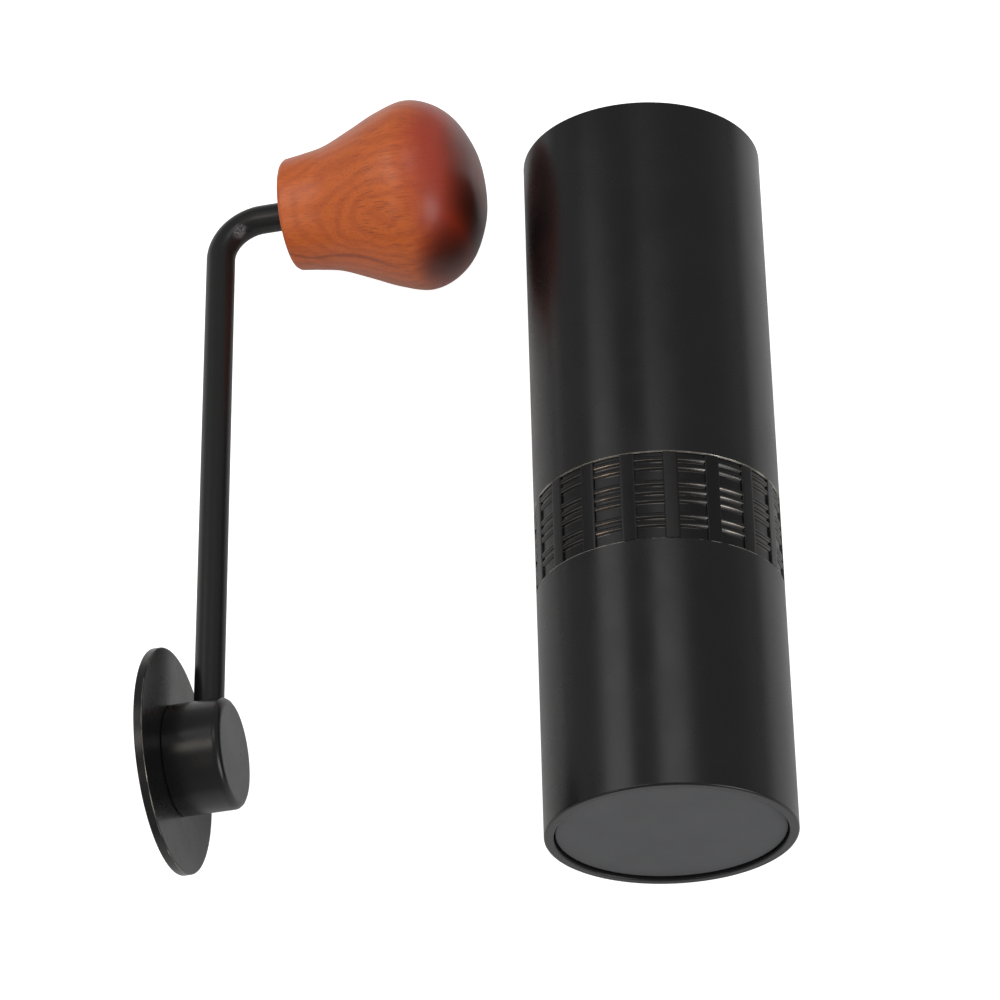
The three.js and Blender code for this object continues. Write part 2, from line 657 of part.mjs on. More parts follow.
barrel.add(
  piece('drive_shaft', driveShaft(), BRIGHT_STEEL),
  piece('top_bearing_inner', bearingInner(TOP_BEARING_FOOT), BRIGHT_STEEL),
  piece('low_bearing_inner', bearingInner(LOW_BEARING_FOOT), BRIGHT_STEEL),
  piece('shaft_top_clip', shaftClip(TOP_CLIP), BRIGHT_STEEL),
  piece('burr_spring', burrSpring(), BRIGHT_STEEL),
  piece('click_carrier', clickCarrier(), WHITE_NYLON),
  piece('click_ball_1', clickBall(CLICK_CIRCLE), BRIGHT_STEEL),
  piece('click_ball_2', clickBall(-CLICK_CIRCLE), BRIGHT_STEEL),
  piece('dial_clip', shaftClip(DIAL_CLIP), BRIGHT_STEEL),
  piece('inner_burr', innerBurr(), BURR_STEEL),
  piece('adjust_dial', adjustDial(), BLACK_ANODISED),
  piece('click_ring', clickRing(), BRIGHT_STEEL),
  piece('catch_cup', catchCup(), BLACK_ANODISED),
  piece('base_pad', basePad(), PAD_GREY),
);

const crank = new THREE.Group();
const hubAxis = new THREE.Vector3(
  Math.cos(CRANK_RISE) * Math.cos(CRANK_YAW),
  Math.cos(CRANK_RISE) * Math.sin(CRANK_YAW),
  Math.sin(CRANK_RISE),
);
const levelAxis = new THREE.Vector3(0, 1, 0).projectOnPlane(hubAxis).normalize();
const armAxis = levelAxis.clone().applyAxisAngle(hubAxis, CRANK_CLOCK);
const sideAxis = new THREE.Vector3().crossVectors(armAxis, hubAxis);
crank.quaternion.setFromRotationMatrix(new THREE.Matrix4().makeBasis(sideAxis, armAxis, hubAxis));
crank.position.copy(CRANK_PLACE);

crank.add(
  piece('lid_disc', lidDisc(), BLACK_ANODISED),
  piece('lid_bush', lidBush(), WHITE_NYLON),
  piece('crank_hub', crankHub(), BLACK_ANODISED),
  piece('lid_clip', lidClip(), BRIGHT_STEEL),
  piece('crank_arm', crankArm(), BLACK_ROD),
);

const knob = new THREE.Group();
knob.position.y = KNOB_START;
knob.rotation.x = KNOB_LEAN;
knob.add(
  piece('knob', knobBody(), RED_WOOD),
  piece('knob_sleeve', knobSleeve(), WHITE_NYLON),
  piece('knob_clip', knobClip(), BRIGHT_STEEL),
);
crank.add(knob);

// The origin sits on the table, under the middle of the space that the whole object takes up
const group = new THREE.Group();
group.add(barrel, crank);
group.updateMatrixWorld(true);
const middle = new THREE.Box3().setFromObject(group, true).getCenter(new THREE.Vector3());
group.position.set(-middle.x, -middle.y, 0);

export default group;
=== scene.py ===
# %% [markdown]
# # A manual coffee grinder, laid out for its studio picture
# The grinder lies on its side with its base towards the camera. Its crank has been lifted off
# and lies to the left, with the lid disc standing on its rim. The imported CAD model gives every
# piece its place and its motion. This file gives every piece the shape and finish that the eye
# sees, one step to a cell. Lengths are drawn in millimetres and become metres when a piece is
# put in its place.

# %% Load the frame
import json
import math

import bmesh
import bpy
from mathutils import Euler, Matrix, Vector


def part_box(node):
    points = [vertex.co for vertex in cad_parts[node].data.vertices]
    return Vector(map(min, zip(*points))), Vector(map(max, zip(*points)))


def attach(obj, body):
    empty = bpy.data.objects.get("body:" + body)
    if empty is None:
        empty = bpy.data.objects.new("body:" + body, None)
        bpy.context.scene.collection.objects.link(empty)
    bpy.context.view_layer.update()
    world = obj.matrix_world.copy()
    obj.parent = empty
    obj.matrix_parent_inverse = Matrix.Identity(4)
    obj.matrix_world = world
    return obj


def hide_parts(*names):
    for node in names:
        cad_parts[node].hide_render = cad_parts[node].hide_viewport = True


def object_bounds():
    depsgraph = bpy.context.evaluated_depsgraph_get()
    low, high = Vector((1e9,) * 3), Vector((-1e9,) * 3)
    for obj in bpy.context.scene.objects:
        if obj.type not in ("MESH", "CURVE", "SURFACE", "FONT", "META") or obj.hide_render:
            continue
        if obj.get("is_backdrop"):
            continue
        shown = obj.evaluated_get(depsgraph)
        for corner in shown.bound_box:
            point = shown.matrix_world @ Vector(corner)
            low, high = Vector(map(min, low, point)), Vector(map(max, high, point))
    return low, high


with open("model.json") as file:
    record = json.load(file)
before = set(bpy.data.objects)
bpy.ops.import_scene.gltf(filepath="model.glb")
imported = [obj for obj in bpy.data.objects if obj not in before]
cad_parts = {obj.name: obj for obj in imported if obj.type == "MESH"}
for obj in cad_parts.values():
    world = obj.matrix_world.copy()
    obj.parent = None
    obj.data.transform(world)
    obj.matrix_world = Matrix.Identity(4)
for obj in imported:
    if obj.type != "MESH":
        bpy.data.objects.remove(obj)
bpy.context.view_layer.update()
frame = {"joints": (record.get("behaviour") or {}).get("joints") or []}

scene = bpy.context.scene
MM = 0.001
joints = {joint["name"]: joint for joint in frame["joints"]}

# %% [markdown]
# ## Where things lie
# A turned piece is easiest to draw upright, about its own axis. The barrel's pieces are drawn
# with z as the distance from the base, and the crank's with z along its hub, y along its arm and
# z = 0 on the lid's outer face. Two matrices then lay the pieces down where the frame's joints
# say that the axes are, so nothing is fitted by eye.

# %% The two places
base_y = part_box("catch_cup")[0].y
axis_point = Vector(joints["dial_turn"]["pos_m"])
BARREL_PLACE = Matrix.Translation((axis_point.x, base_y, axis_point.z))
BARREL_PLACE @= Euler((-math.pi / 2, 0, 0)).to_matrix().to_4x4()
BARREL_PLACE @= Matrix.Scale(MM, 4)

lid_centre = Vector(joints["crank_turn"]["pos_m"])
hub_axis = Vector(joints["crank_turn"]["axis"]).normalized()
knob_start = Vector(joints["knob_spin"]["pos_m"])
knob_axis = Vector(joints["knob_spin"]["axis"]).normalized()
arm_axis = (knob_start - lid_centre).normalized()
side_axis = arm_axis.cross(hub_axis)


def laid(origin, x_axis, y_axis, z_axis):
    """A place with the given axes, in which lengths are in millimetres."""
    turn = Matrix((x_axis, y_axis, z_axis)).transposed().to_4x4()
    return Matrix.Translation(origin) @ turn @ Matrix.Scale(MM, 4)


CRANK_PLACE = laid(lid_centre, side_axis, arm_axis, hub_axis)
KNOB_PLACE = laid(knob_start, side_axis, knob_axis.cross(side_axis), knob_axis)
KNOB_START = (knob_start - lid_centre).length / MM
KNOB_LEAN = hub_axis.angle(knob_axis)
print("knob axis starts at mm:", round(KNOB_START, 2))
print("and leans by degrees:", round(math.degrees(KNOB_LEAN), 2))

# %% [markdown]
# ## Camera
# The photograph was taken from high up in front of the base, with a long lens. The place over
# the foot of the barrel, the tilt, the small roll and the lens come from fitting the barrel's
# edges and the ellipse of its base.

# %% Set the camera
LENS_MM = 146.97
STAND = Vector((-0.047177, -0.360570, 0.882530))
TILT = math.radians(27.66)
ROLL = math.radians(-1.318)
lens_data = bpy.data.cameras.new("studio_camera")
lens_data.sensor_fit = "HORIZONTAL"
lens_data.sensor_width = 36
lens_data.lens = LENS_MM
lens_data.clip_start = 0.01
lens_data.clip_end = 20
camera = bpy.data.objects.new("studio_camera", lens_data)
camera.location = Vector((axis_point.x, base_y, 0)) + STAND
camera.rotation_euler = (TILT, 0, ROLL)
scene.collection.objects.link(camera)
scene.camera = camera
print("camera distance in m:", round(camera.location.length, 3))

# %% [markdown]
# ## Colour and nodes
# Colours are written as the screen shows them, in sRGB hex, but a shader adds light, so it wants
# linear values. One function turns the one into the other. A second one adds a node to any
# tree, shader or geometry, with its settings, plain values and links in one go. Three small ones
# do the sums: on values, on vectors, and from a value to a vector.

# %% Helpers for every tree
def linear(code):
    """An sRGB hex colour as linear red, green, blue and alpha."""
    shown = [int(code[i:i + 2], 16) / 255 for i in (1, 3, 5)]
    return tuple(c / 12.92 if c <= 0.04045 else ((c + 0.055) / 1.055) ** 2.4 for c in shown) + (1.0,)


def node(tree, kind, inputs={}, **settings):
    """Adds a node; each input is given a plain value or is linked to another node's socket."""
    made = tree.nodes.new(kind)
    for name, value in settings.items():
        setattr(made, name, value)
    for socket, value in inputs.items():
        if isinstance(value, bpy.types.NodeSocket):
            tree.links.new(value, made.inputs[socket])
        else:
            made.inputs[socket].default_value = value
    return made


def maths(tree, operation, *values):
    """The result of one Math node on one, two or three values or masks."""
    return node(tree, "ShaderNodeMath", dict(enumerate(values)), operation=operation).outputs[0]


def vectors(tree, operation, *values, result="Vector"):
    """The result of one Vector Math node; the result named Value is a number."""
    made = node(tree, "ShaderNodeVectorMath", dict(enumerate(values)), operation=operation)
    return made.outputs[result]


def offset(tree, **ways):
    """A vector whose X, Y or Z is given."""
    return node(tree, "ShaderNodeCombineXYZ", ways).outputs[0]


print("mid grey is", round(linear("#808080")[0], 3), "in linear light")

# %% [markdown]
# ## Light
# The studio is a white table in a dim room. The barrel is nearly black, so what the eye sees on
# it is mostly reflected light: one broad stripe from a soft box behind on the left, one from
# overhead, and the white table itself along both edges. A warmer box on the left draws the line
# along the hub and the short arm of the rod, and one low on the right puts the soft highlight on
# the wooden knob. A small one low on the left catches the edges of the band's ribs. The lamps are
# at a plain level, so a colour renders about as it is written, and the white of the background
# comes from the table's and room's own colour.

# %% Hang the soft boxes
def soft_box(name, direction, distance, size, height, brightness, colour="#FFFFFF"):
    """A rectangular lamp that faces the grinder; brightness is what a mirror would show of it."""
    lamp = bpy.data.lights.new(name, "AREA")
    lamp.shape = "RECTANGLE"
    lamp.size = size
    lamp.size_y = height
    lamp.color = linear(colour)[:3]
    lamp.energy = brightness * math.pi * size * height
    box = bpy.data.objects.new(name, lamp)
    box.location = Vector(direction).normalized() * distance
    box.rotation_euler = (-box.location).to_track_quat("-Z", "Y").to_euler()
    scene.collection.objects.link(box)
    return box


soft_box("back_left_box", (-0.67, 0.24, 0.62), 1.2, 0.62, 0.50, 1.3)
soft_box("overhead_box", (0.08, 0.24, 0.89), 1.3, 0.58, 0.46, 1.35)
soft_box("left_front_box", (-0.50, -0.05, 0.86), 1.2, 0.32, 0.60, 2.1, "#FFF4E8")
soft_box("right_box", (0.79, -0.54, 0.50), 1.08, 0.40, 0.60, 3.6)
soft_box("left_low_box", (-0.65, -0.52, 0.52), 1.1, 0.16, 0.26, 4.0, "#FFE9D2")

# %% [markdown]
# ### The room
# The world is a dim grey to matt surfaces. Mirrors and glass see it a little brighter at the
# horizon than overhead, and the camera sees it pure white.

# %% The room
room = bpy.data.worlds.new("dim_room")
room.use_nodes = True
scene.world = room
air = room.node_tree
air.nodes.clear()
way = node(air, "ShaderNodeLightPath").outputs
upward = node(air, "ShaderNodeSeparateXYZ", {0: node(air, "ShaderNodeTexCoord").outputs["Generated"]})
backdrop = node(air, "ShaderNodeMapRange", {
    "Value": upward.outputs["Z"], "From Min": 0.0, "From Max": 0.3, "To Min": 0.36, "To Max": 0.26,
}, interpolation_type="SMOOTHSTEP")
seen = maths(air, "MAXIMUM", way["Is Glossy Ray"], way["Is Transmission Ray"])
dim = node(air, "ShaderNodeMix", {0: seen, 2: 0.90, 3: backdrop.outputs[0]})
level = node(air, "ShaderNodeMix", {0: way["Is Camera Ray"], 2: dim.outputs[0], 3: 1.0})
sky = node(air, "ShaderNodeBackground", {"Color": (1, 1, 1, 1), "Strength": level.outputs[0]})
node(air, "ShaderNodeOutputWorld", {"Surface": sky.outputs[0]})
print("room nodes:", len(air.nodes))

# %% [markdown]
# ### The table
# The table is a sheet of white paper whose light falls off away from the grinder. It glows for
# the camera, so that the background turns white and the grinder's shadow stays.

# %% The table top
table_finish = bpy.data.materials.new("white_paper_sweep")
table_finish.use_nodes = True
paper = table_finish.node_tree
paper.nodes.clear()
way = node(paper, "ShaderNodeLightPath").outputs
LIT_CENTRE = (0.02, 0.03, 0)
spot = node(paper, "ShaderNodeTexCoord").outputs["Object"]
away = vectors(paper, "DISTANCE", spot, LIT_CENTRE, result="Value")
falloff = node(paper, "ShaderNodeMapRange", {
    "Value": away, "From Min": 0.16, "From Max": 0.42, "To Min": 0.0, "To Max": 1.0,
}, interpolation_type="SMOOTHSTEP")
lit = node(paper, "ShaderNodeMix", {
    0: falloff.outputs[0], 6: linear("#C0C0C0"), 7: linear("#6E6E6E"),
}, data_type="RGBA")
matt = node(paper, "ShaderNodeBsdfDiffuse", {"Color": lit.outputs[2]})
mirrored = maths(paper, "MAXIMUM", way["Is Glossy Ray"], way["Is Transmission Ray"])
glow = maths(paper, "MULTIPLY", mirrored, 0.05)
glow = maths(paper, "MULTIPLY_ADD", way["Is Camera Ray"], 0.88, glow)
white = node(paper, "ShaderNodeEmission", {"Color": (1, 1, 1, 1), "Strength": glow})
both = node(paper, "ShaderNodeAddShader", {0: matt.outputs[0], 1: white.outputs[0]})
node(paper, "ShaderNodeOutputMaterial", {"Surface": both.outputs[0]})

top_mesh = bpy.data.meshes.new("table_top")
TABLE_HALF = 3.0
top_mesh.from_pydata([(x * TABLE_HALF, y * TABLE_HALF, 0) for x, y in ((-1, -1), (1, -1), (1, 1), (-1, 1))],
                     [], [(0, 1, 2, 3)])
top_mesh.materials.append(table_finish)
table_top = bpy.data.objects.new("table_top", top_mesh)
scene.collection.objects.link(table_top)
table_top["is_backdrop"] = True
print("table is", 2 * TABLE_HALF, "m across")

# %% [markdown]
# ## Finishes
# Every finish starts the same way: a Principled shader, and coordinates in millimetres that are
# fixed to the object. A pattern's scale can then be worked out from a real size: a noise whose
# features are 0.5 mm across has a scale of 1 / 0.5 = 2.

# %% How a finish starts
def finish(name, place=None, **surface):
    """A new material, its tree, its shader, and coordinates in mm, upright in the given place."""
    made = bpy.data.materials.new(name)
    made.use_nodes = True
    tree = made.node_tree
    shader = tree.nodes["Principled BSDF"]
    for socket, value in surface.items():
        shader.inputs[socket.replace("_", " ")].default_value = value
    coords = node(tree, "ShaderNodeTexCoord").outputs["Object"]
    turn = place.to_euler() if place else Euler((0, 0, 0))
    origin = place.translation if place else Vector((0, 0, 0))
    mapped = node(tree, "ShaderNodeMapping", {
        "Vector": coords, "Location": origin, "Rotation": turn, "Scale": (MM, MM, MM),
    }, vector_type="TEXTURE")
    return made, tree, shader, mapped.outputs[0]


print("coordinates count millimetres, so one metre is", round(1 / MM))

# %% [markdown]
# ### Masks, mixes and bumps
# A look is built in layers: a mask says how much of the next colour or roughness shows, and where.

# %% Layers
def tint(tree, mask, first, second):
    """Goes from the first colour to the second as the mask goes from 0 to 1."""
    mix = node(tree, "ShaderNodeMix", {0: mask, 6: first, 7: second}, data_type="RGBA")
    return mix.outputs[2]


def ramp(tree, value, start, end, low=0.0, high=1.0):
    """Goes smoothly from low to high as the value goes from start to end."""
    return node(tree, "ShaderNodeMapRange", {
        "Value": value, "From Min": start, "From Max": end, "To Min": low, "To Max": high,
    }, interpolation_type="SMOOTHSTEP").outputs[0]


def times(tree, first, second):
    """The product of two values or masks."""
    return maths(tree, "MULTIPLY", first, second)


def noise(tree, coords, size, detail=2.0):
    """A noise from 0 to 1 whose features are size millimetres across."""
    made = node(tree, "ShaderNodeTexNoise", {"Vector": coords, "Scale": 1 / size, "Detail": detail})
    return made.outputs[0]


def emboss(tree, shader, height, depth):
    """Lets a height pattern from 0 to 1 stand depth millimetres proud, for the light only."""
    bump = node(tree, "ShaderNodeBump", {"Height": height, "Distance": depth * MM, "Strength": 1.0})
    tree.links.new(bump.outputs[0], shader.inputs["Normal"])


LOOKS = {}
print("looks so far:", len(LOOKS))

# %% [markdown]
# ### Black anodised aluminium
# Aluminium is turned, blasted with fine glass beads and then anodised: a hard, porous oxide
# layer grows on it and is dyed black. The eye sees a charcoal that is never quite black, with
# broad soft reflections. The dyed oxide is a clear dielectric over a dark ground, so the
# metallic value is 0 and the roughness comes from the blasting. Real bead marks are some
# 0.05 mm wide, too fine for the picture, so they are drawn at 0.25 mm. A hair line of bare
# aluminium is painted along the seams above and below the grip band, on the upper edge of each of
# its ribs, and here and there on the lid: partly an edge rubbed or cut after the anodising, and
# partly a painted highlight where the edge catches the lamps.

# %% Anodised finish
BEAD_SIZE = 0.25


def anodised(name, place, colour, roughness, index, bare_and_highlight_colour, chamfers, rim):
    """Bare metal and a painted highlight show at the chamfers (height, half width, least share) that lie
    within the rim.
    """
    made, tree, shader, coords = finish(name, place, IOR=index)
    cloud = noise(tree, coords, 14, 4.0)
    grain = noise(tree, coords, BEAD_SIZE)
    darker = tuple(c * 0.72 for c in linear(colour)[:3]) + (1.0,)
    skin = tint(tree, cloud, darker, linear(colour))
    rough = ramp(tree, cloud, 0.3, 0.7, roughness - 0.03, roughness + 0.03)
    parts = node(tree, "ShaderNodeSeparateXYZ", {0: coords}).outputs
    turning = noise(tree, coords, 6, 3.0)
    bare_and_highlight = 0.0
    for height, half_width, least in chamfers:
        line = maths(tree, "COMPARE", parts["Z"], height, half_width)
        line = times(tree, line, ramp(tree, turning, 0.42, 0.58, least, 1.0))
        bare_and_highlight = maths(tree, "ADD", line, bare_and_highlight)
    spoke = vectors(tree, "MULTIPLY", coords, (1, 1, 0))
    spoke = vectors(tree, "LENGTH", spoke, result="Value")
    bare_and_highlight = times(tree, bare_and_highlight, maths(tree, "LESS_THAN", spoke, rim))
    skin = tint(tree, bare_and_highlight, skin, linear(bare_and_highlight_colour))
    tree.links.new(bare_and_highlight, shader.inputs["Metallic"])
    rough = node(tree, "ShaderNodeMix", {0: bare_and_highlight, 2: rough, 3: 0.25}).outputs[0]
    tree.links.new(skin, shader.inputs["Base Color"])
    tree.links.new(rough, shader.inputs["Roughness"])
    emboss(tree, shader, grain, 0.0012)
    return made


print("bead marks are drawn at mm:", BEAD_SIZE)

# %% [markdown]
# ### Where the bare metal and painted highlights show
# Seams and ribs stand at known heights above the base, in millimetres, so their worn and highlighted
# edges can be named by height. The tube, the lid and the band wear and catch the light differently,
# so each has its own finish.

# %% Three anodised finishes
BAND_FOOT = 61.4
BAND_HEAD = 83.2
RIB_LEVELS = [BAND_HEAD - drop for drop in (2.2, 4.4, 8.4, 10.6, 12.8, 16.8, 19.0)]
# These lines are partly worn bare metal and partly painted highlight. The upper edges face the lamps
# behind, so they get wider and fuller lines than the lower ones.
SEAM_EDGES = [(BAND_HEAD + 0.15, 0.15, 0.3), (BAND_FOOT - 0.42, 0.10, 0.0)]
RIB_EDGES = [(level + 0.34, 0.09, 0.35) for level in RIB_LEVELS]
RIB_EDGES += [(level - 0.36, 0.05, 0.0) for level in RIB_LEVELS]
LOOKS["black_anodised"] = anodised(
    "black_anodised_aluminium", BARREL_PLACE, "#0F0F10", 0.27, 1.5, "#A9A39B", SEAM_EDGES, 40)
# The lid's bare line near its face is partly wear and partly painted highlight.
LID_EDGES = [(-0.2, 0.08, 0.0)]
LOOKS["lid_anodised"] = anodised(
    "lid_anodised_aluminium", CRANK_PLACE, "#0F0F10", 0.27, 1.5, "#8F8880", LID_EDGES, 40)
LOOKS["band_anodised"] = anodised(
    "band_anodised_aluminium", BARREL_PLACE, "#0B0B0C", 0.28, 1.42, "#7D766F", RIB_EDGES, 28.96)
print("anodised finishes ready")

# %% [markdown]
# ### Black coated rod
# The crank's rod is steel under a thin black coat, about as rough as the barrel, but so slim that
# its highlight is a narrow stripe. At the inside of the bend the bending tool has left a small
# scuff, whose edge a noise breaks up into flecks.

# %% Coated rod
made, tree, shader, coords = finish("black_coated_steel_rod", CRANK_PLACE, IOR=1.5)
wisp = noise(tree, coords, 1.0, 6.0)
BEND_SCUFF = (-2.3, KNOB_START - 4.6, 12.5)
nearness = vectors(tree, "DISTANCE", coords, BEND_SCUFF, result="Value")
nearness = maths(tree, "MULTIPLY_ADD", wisp, -3.0, nearness)
scuff = ramp(tree, nearness, -0.6, 0.7, 1.0, 0.0)
fleck = noise(tree, coords, 0.35, 3.0)
scuff = times(tree, scuff, ramp(tree, fleck, 0.42, 0.62, 0.15, 1.0))
tree.links.new(tint(tree, scuff, linear("#131313"), linear("#6A6366")), shader.inputs["Base Color"])
rough = ramp(tree, wisp, 0.3, 0.7, 0.30, 0.35)
rough = node(tree, "ShaderNodeMix", {0: scuff, 2: rough, 3: 0.7}).outputs[0]
tree.links.new(rough, shader.inputs["Roughness"])
emboss(tree, shader, wisp, 0.004)
LOOKS["black_rod"] = made
print("rod finish ready")

# %% [markdown]
# ### Red-brown stained wood
# The knob is turned from a close-grained tropical wood and rubbed with oil. It is orange-brown on
# the neck and on most of the bulb, then red, and round the end a painted shade turns it nearly
# black. The grain runs along the knob: fine fibres, short dark pores that the lathe has cut
# open, and the growth rings, which the bulb's curve cuts into long soft arches about one heart.

# %% Growth rings
made, tree, shader, coords = finish("stained_turned_wood", KNOB_PLACE, IOR=1.45)
parts = node(tree, "ShaderNodeSeparateXYZ", {0: coords}).outputs
wander = noise(tree, coords, 14, 1.5)
ARCH_HEART = (-17, -16, 53)
RING_SPACING = 3.4
arch = vectors(tree, "SUBTRACT", coords, ARCH_HEART)
arch = vectors(tree, "MULTIPLY", arch, (1, 1, 0.5))
arch = vectors(tree, "LENGTH", arch, result="Value")
rings = maths(tree, "MULTIPLY_ADD", wander, 11.0, arch)
rings = times(tree, rings, 2 * math.pi / RING_SPACING)
rings = ramp(tree, maths(tree, "SINE", rings), -0.6, 1.0, 0.0, 0.36)
print("wood rings every", RING_SPACING, "mm")

# %% [markdown]
# ### Fibres and pores
# Fibres are noise drawn out along the knob. The pores are cells on a cylinder round its axis,
# drawn out too, and the lathe has torn them open most round the middle of the bulb.

# %% Fibres and pores
along = vectors(tree, "MULTIPLY", coords, (1, 1, 0.05))
fibre = noise(tree, along, 0.32, 3.0)
WRAP_RADIUS = 20.0
round_it = vectors(tree, "MULTIPLY", coords, (1, 1, 0))
round_it = vectors(tree, "NORMALIZE", round_it)
round_it = node(tree, "ShaderNodeVectorMath", {0: round_it, "Scale": WRAP_RADIUS}, operation="SCALE")
length = offset(tree, Z=times(tree, parts["Z"], 0.075))
cells = vectors(tree, "ADD", round_it.outputs[0], length)
pores = node(tree, "ShaderNodeTexVoronoi", {"Vector": cells, "Scale": 1 / 0.42}).outputs["Distance"]
pores = ramp(tree, pores, 0.15, 0.36, 1.0, 0.0)
torn = times(tree, ramp(tree, parts["Z"], 43, 50), ramp(tree, parts["Z"], 56, 62, 1.0, 0.0))
pores = times(tree, pores, ramp(tree, torn, 0.0, 1.0, 0.18, 0.45))
print("pores are drawn on a cylinder of mm:", WRAP_RADIUS)

# %% [markdown]
# ### Dark line, stain and painted shade
# One dark line sways along the neck and fades on the bulb. The red stain starts at a height that
# wanders, and a nearly black painted shade gathers round the end, where it reaches further up one side.

# %% Dark line, stain and painted shade
DARK_LINE_SIDE = -4.0
sway = maths(tree, "SINE", times(tree, parts["Z"], 0.24))
sway = maths(tree, "MULTIPLY_ADD", sway, 1.6, DARK_LINE_SIDE)
sway = maths(tree, "MULTIPLY_ADD", wander, 4.0, sway)
line = maths(tree, "ABSOLUTE", maths(tree, "SUBTRACT", parts["X"], sway))
line = ramp(tree, line, 0.0, 1.0, 1.0, 0.0)
line = times(tree, line, ramp(tree, parts["Z"], 46, 56, 0.5, 0.0))
height = maths(tree, "MULTIPLY_ADD", wander, 6.0, parts["Z"])
# Painted shade: round the end of the knob the colour darkens to nearly black, and on one side it starts
# earlier and is darker.
SHADE_LOW_SIDE = -16
low = maths(tree, "SUBTRACT", SHADE_LOW_SIDE, parts["Y"])
low = times(tree, maths(tree, "MAXIMUM", low, 0.0), 1.3)
RED_FROM = 58.5
END_SHADE_FROM = 67.6
red = ramp(tree, height, RED_FROM, 69)
end = maths(tree, "MULTIPLY_ADD", wander, 3.0, parts["Z"])
painted_end_shade = ramp(tree, maths(tree, "ADD", end, low), END_SHADE_FROM, 75.0)
painted_end_shade = times(tree, painted_end_shade, ramp(tree, parts["Y"], -13, 2, 1.0, 0.72))
painted_end_shade = times(tree, painted_end_shade, ramp(tree, parts["Z"], 73.4, 74.1, 1.0, 0.75))
print("red stain from mm:", RED_FROM, "painted end shade from mm:", END_SHADE_FROM)

# %% [markdown]
# ### Wood colours
# The layers are laid over each other: first the rings, then the red stain and the painted shade
# round the end, and then fibres, pores and the dark line. The oil is a thin, soft coat.

# %% Stained wood
wood = tint(tree, rings, linear("#B95718"), linear("#9B3F12"))
wood = tint(tree, red, wood, linear("#962E16"))
# The painted shade round the end.
wood = tint(tree, painted_end_shade, wood, linear("#32120B"))
wood = tint(tree, ramp(tree, fibre, 0.42, 0.78, 0.0, 0.40), wood, linear("#6A2810"))
wood = tint(tree, pores, wood, linear("#54200C"))
wood = tint(tree, line, wood, linear("#571F0C"))
tree.links.new(wood, shader.inputs["Base Color"])
tree.links.new(ramp(tree, fibre, 0.3, 0.7, 0.42, 0.50), shader.inputs["Roughness"])
shader.inputs["Specular IOR Level"].default_value = 0.25
shader.inputs["Coat Weight"].default_value = 0.7
shader.inputs["Coat Roughness"].default_value = 0.33
emboss(tree, shader, fibre, 0.006)
LOOKS["red_wood"] = made
print("looks so far:", len(LOOKS))

# %% [markdown]
# ### The other finishes
# The pad is a dense grey rubber foam with a matt, faintly speckled skin. The burrs are
# hardened steel, ground and left with fine marks. Bearings, shaft, clips and screws are ground
# bright steel. Bush, carrier and sleeve are milky nylon, and the cup's seal is black rubber.

# %% Pad, plastics and rubber
def moulded(name, colour, paler, roughness, grain_size, depth):
    """A soft or moulded skin with a faint speckle and cloud."""
    made, tree, shader, coords = finish(name, Roughness=roughness, IOR=1.5)
    speckle = noise(tree, coords, grain_size, 3.0)
    mask = times(tree, speckle, noise(tree, coords, 9))
    tree.links.new(tint(tree, mask, linear(colour), linear(paler)), shader.inputs["Base Color"])
    emboss(tree, shader, speckle, depth)
    return made


LOOKS["pad_grey"] = moulded("grey_foam_rubber", "#4A4B4D", "#5C5D5F", 0.75, 0.3, 0.01)
LOOKS["white_nylon"] = moulded("machined_nylon", "#CFCBC0", "#E4E1D8", 0.45, 0.6, 0.004)
LOOKS["black_rubber"] = moulded("black_nitrile_rubber", "#121212", "#202020", 0.65, 0.4, 0.006)
print("moulded finishes ready")

# %% [markdown]
# ### Ground steels
# A grinding wheel leaves fine marks that run round the piece. Noise that is stretched along them
# gives bands of slightly different roughness, and a larger, fainter noise gives the stain.

# %% Ground steels
def ground_steel(name, place, colour, roughness, mark_size):
    """Bare metal whose grinding marks run round the axis of its place."""
    made, tree, shader, coords = finish(name, place, Metallic=1.0)
    stretched = node(tree, "ShaderNodeMapping", {"Vector": coords, "Scale": (0.04, 0.04, 1)})
    marks = noise(tree, stretched.outputs[0], mark_size)
    stain = noise(tree, coords, 5, 3.0)
    darker = tuple(c * 0.8 for c in linear(colour)[:3]) + (1.0,)
    tree.links.new(tint(tree, stain, darker, linear(colour)), shader.inputs["Base Color"])
    rough = node(tree, "ShaderNodeMapRange", {
        "Value": marks, "To Min": roughness - 0.08, "To Max": roughness + 0.08,
    })
    tree.links.new(rough.outputs[0], shader.inputs["Roughness"])
    emboss(tree, shader, marks, 0.004)
    return made


LOOKS["burr_steel"] = ground_steel("hardened_burr_steel", BARREL_PLACE, "#9C9B98", 0.36, 0.3)
LOOKS["bright_steel"] = ground_steel("ground_bright_steel", BARREL_PLACE, "#BDBDBA", 0.26, 0.25)
print("finishes:", len(LOOKS))

# %% [markdown]
# ## Turning
# Most of the grinder is turned on a lathe, so one function plays the lathe: it takes an outline
# of radius and height, as on the drawing, and spins it. No real edge is perfectly sharp. Each
# corner first becomes a small arc, and a point just before and after the arc keeps the large
# faces flat, so a thin highlight runs along every edge as it does on the real piece.

# %% Ease the corners
ARC_STEPS = 4
SUPPORT = 0.18


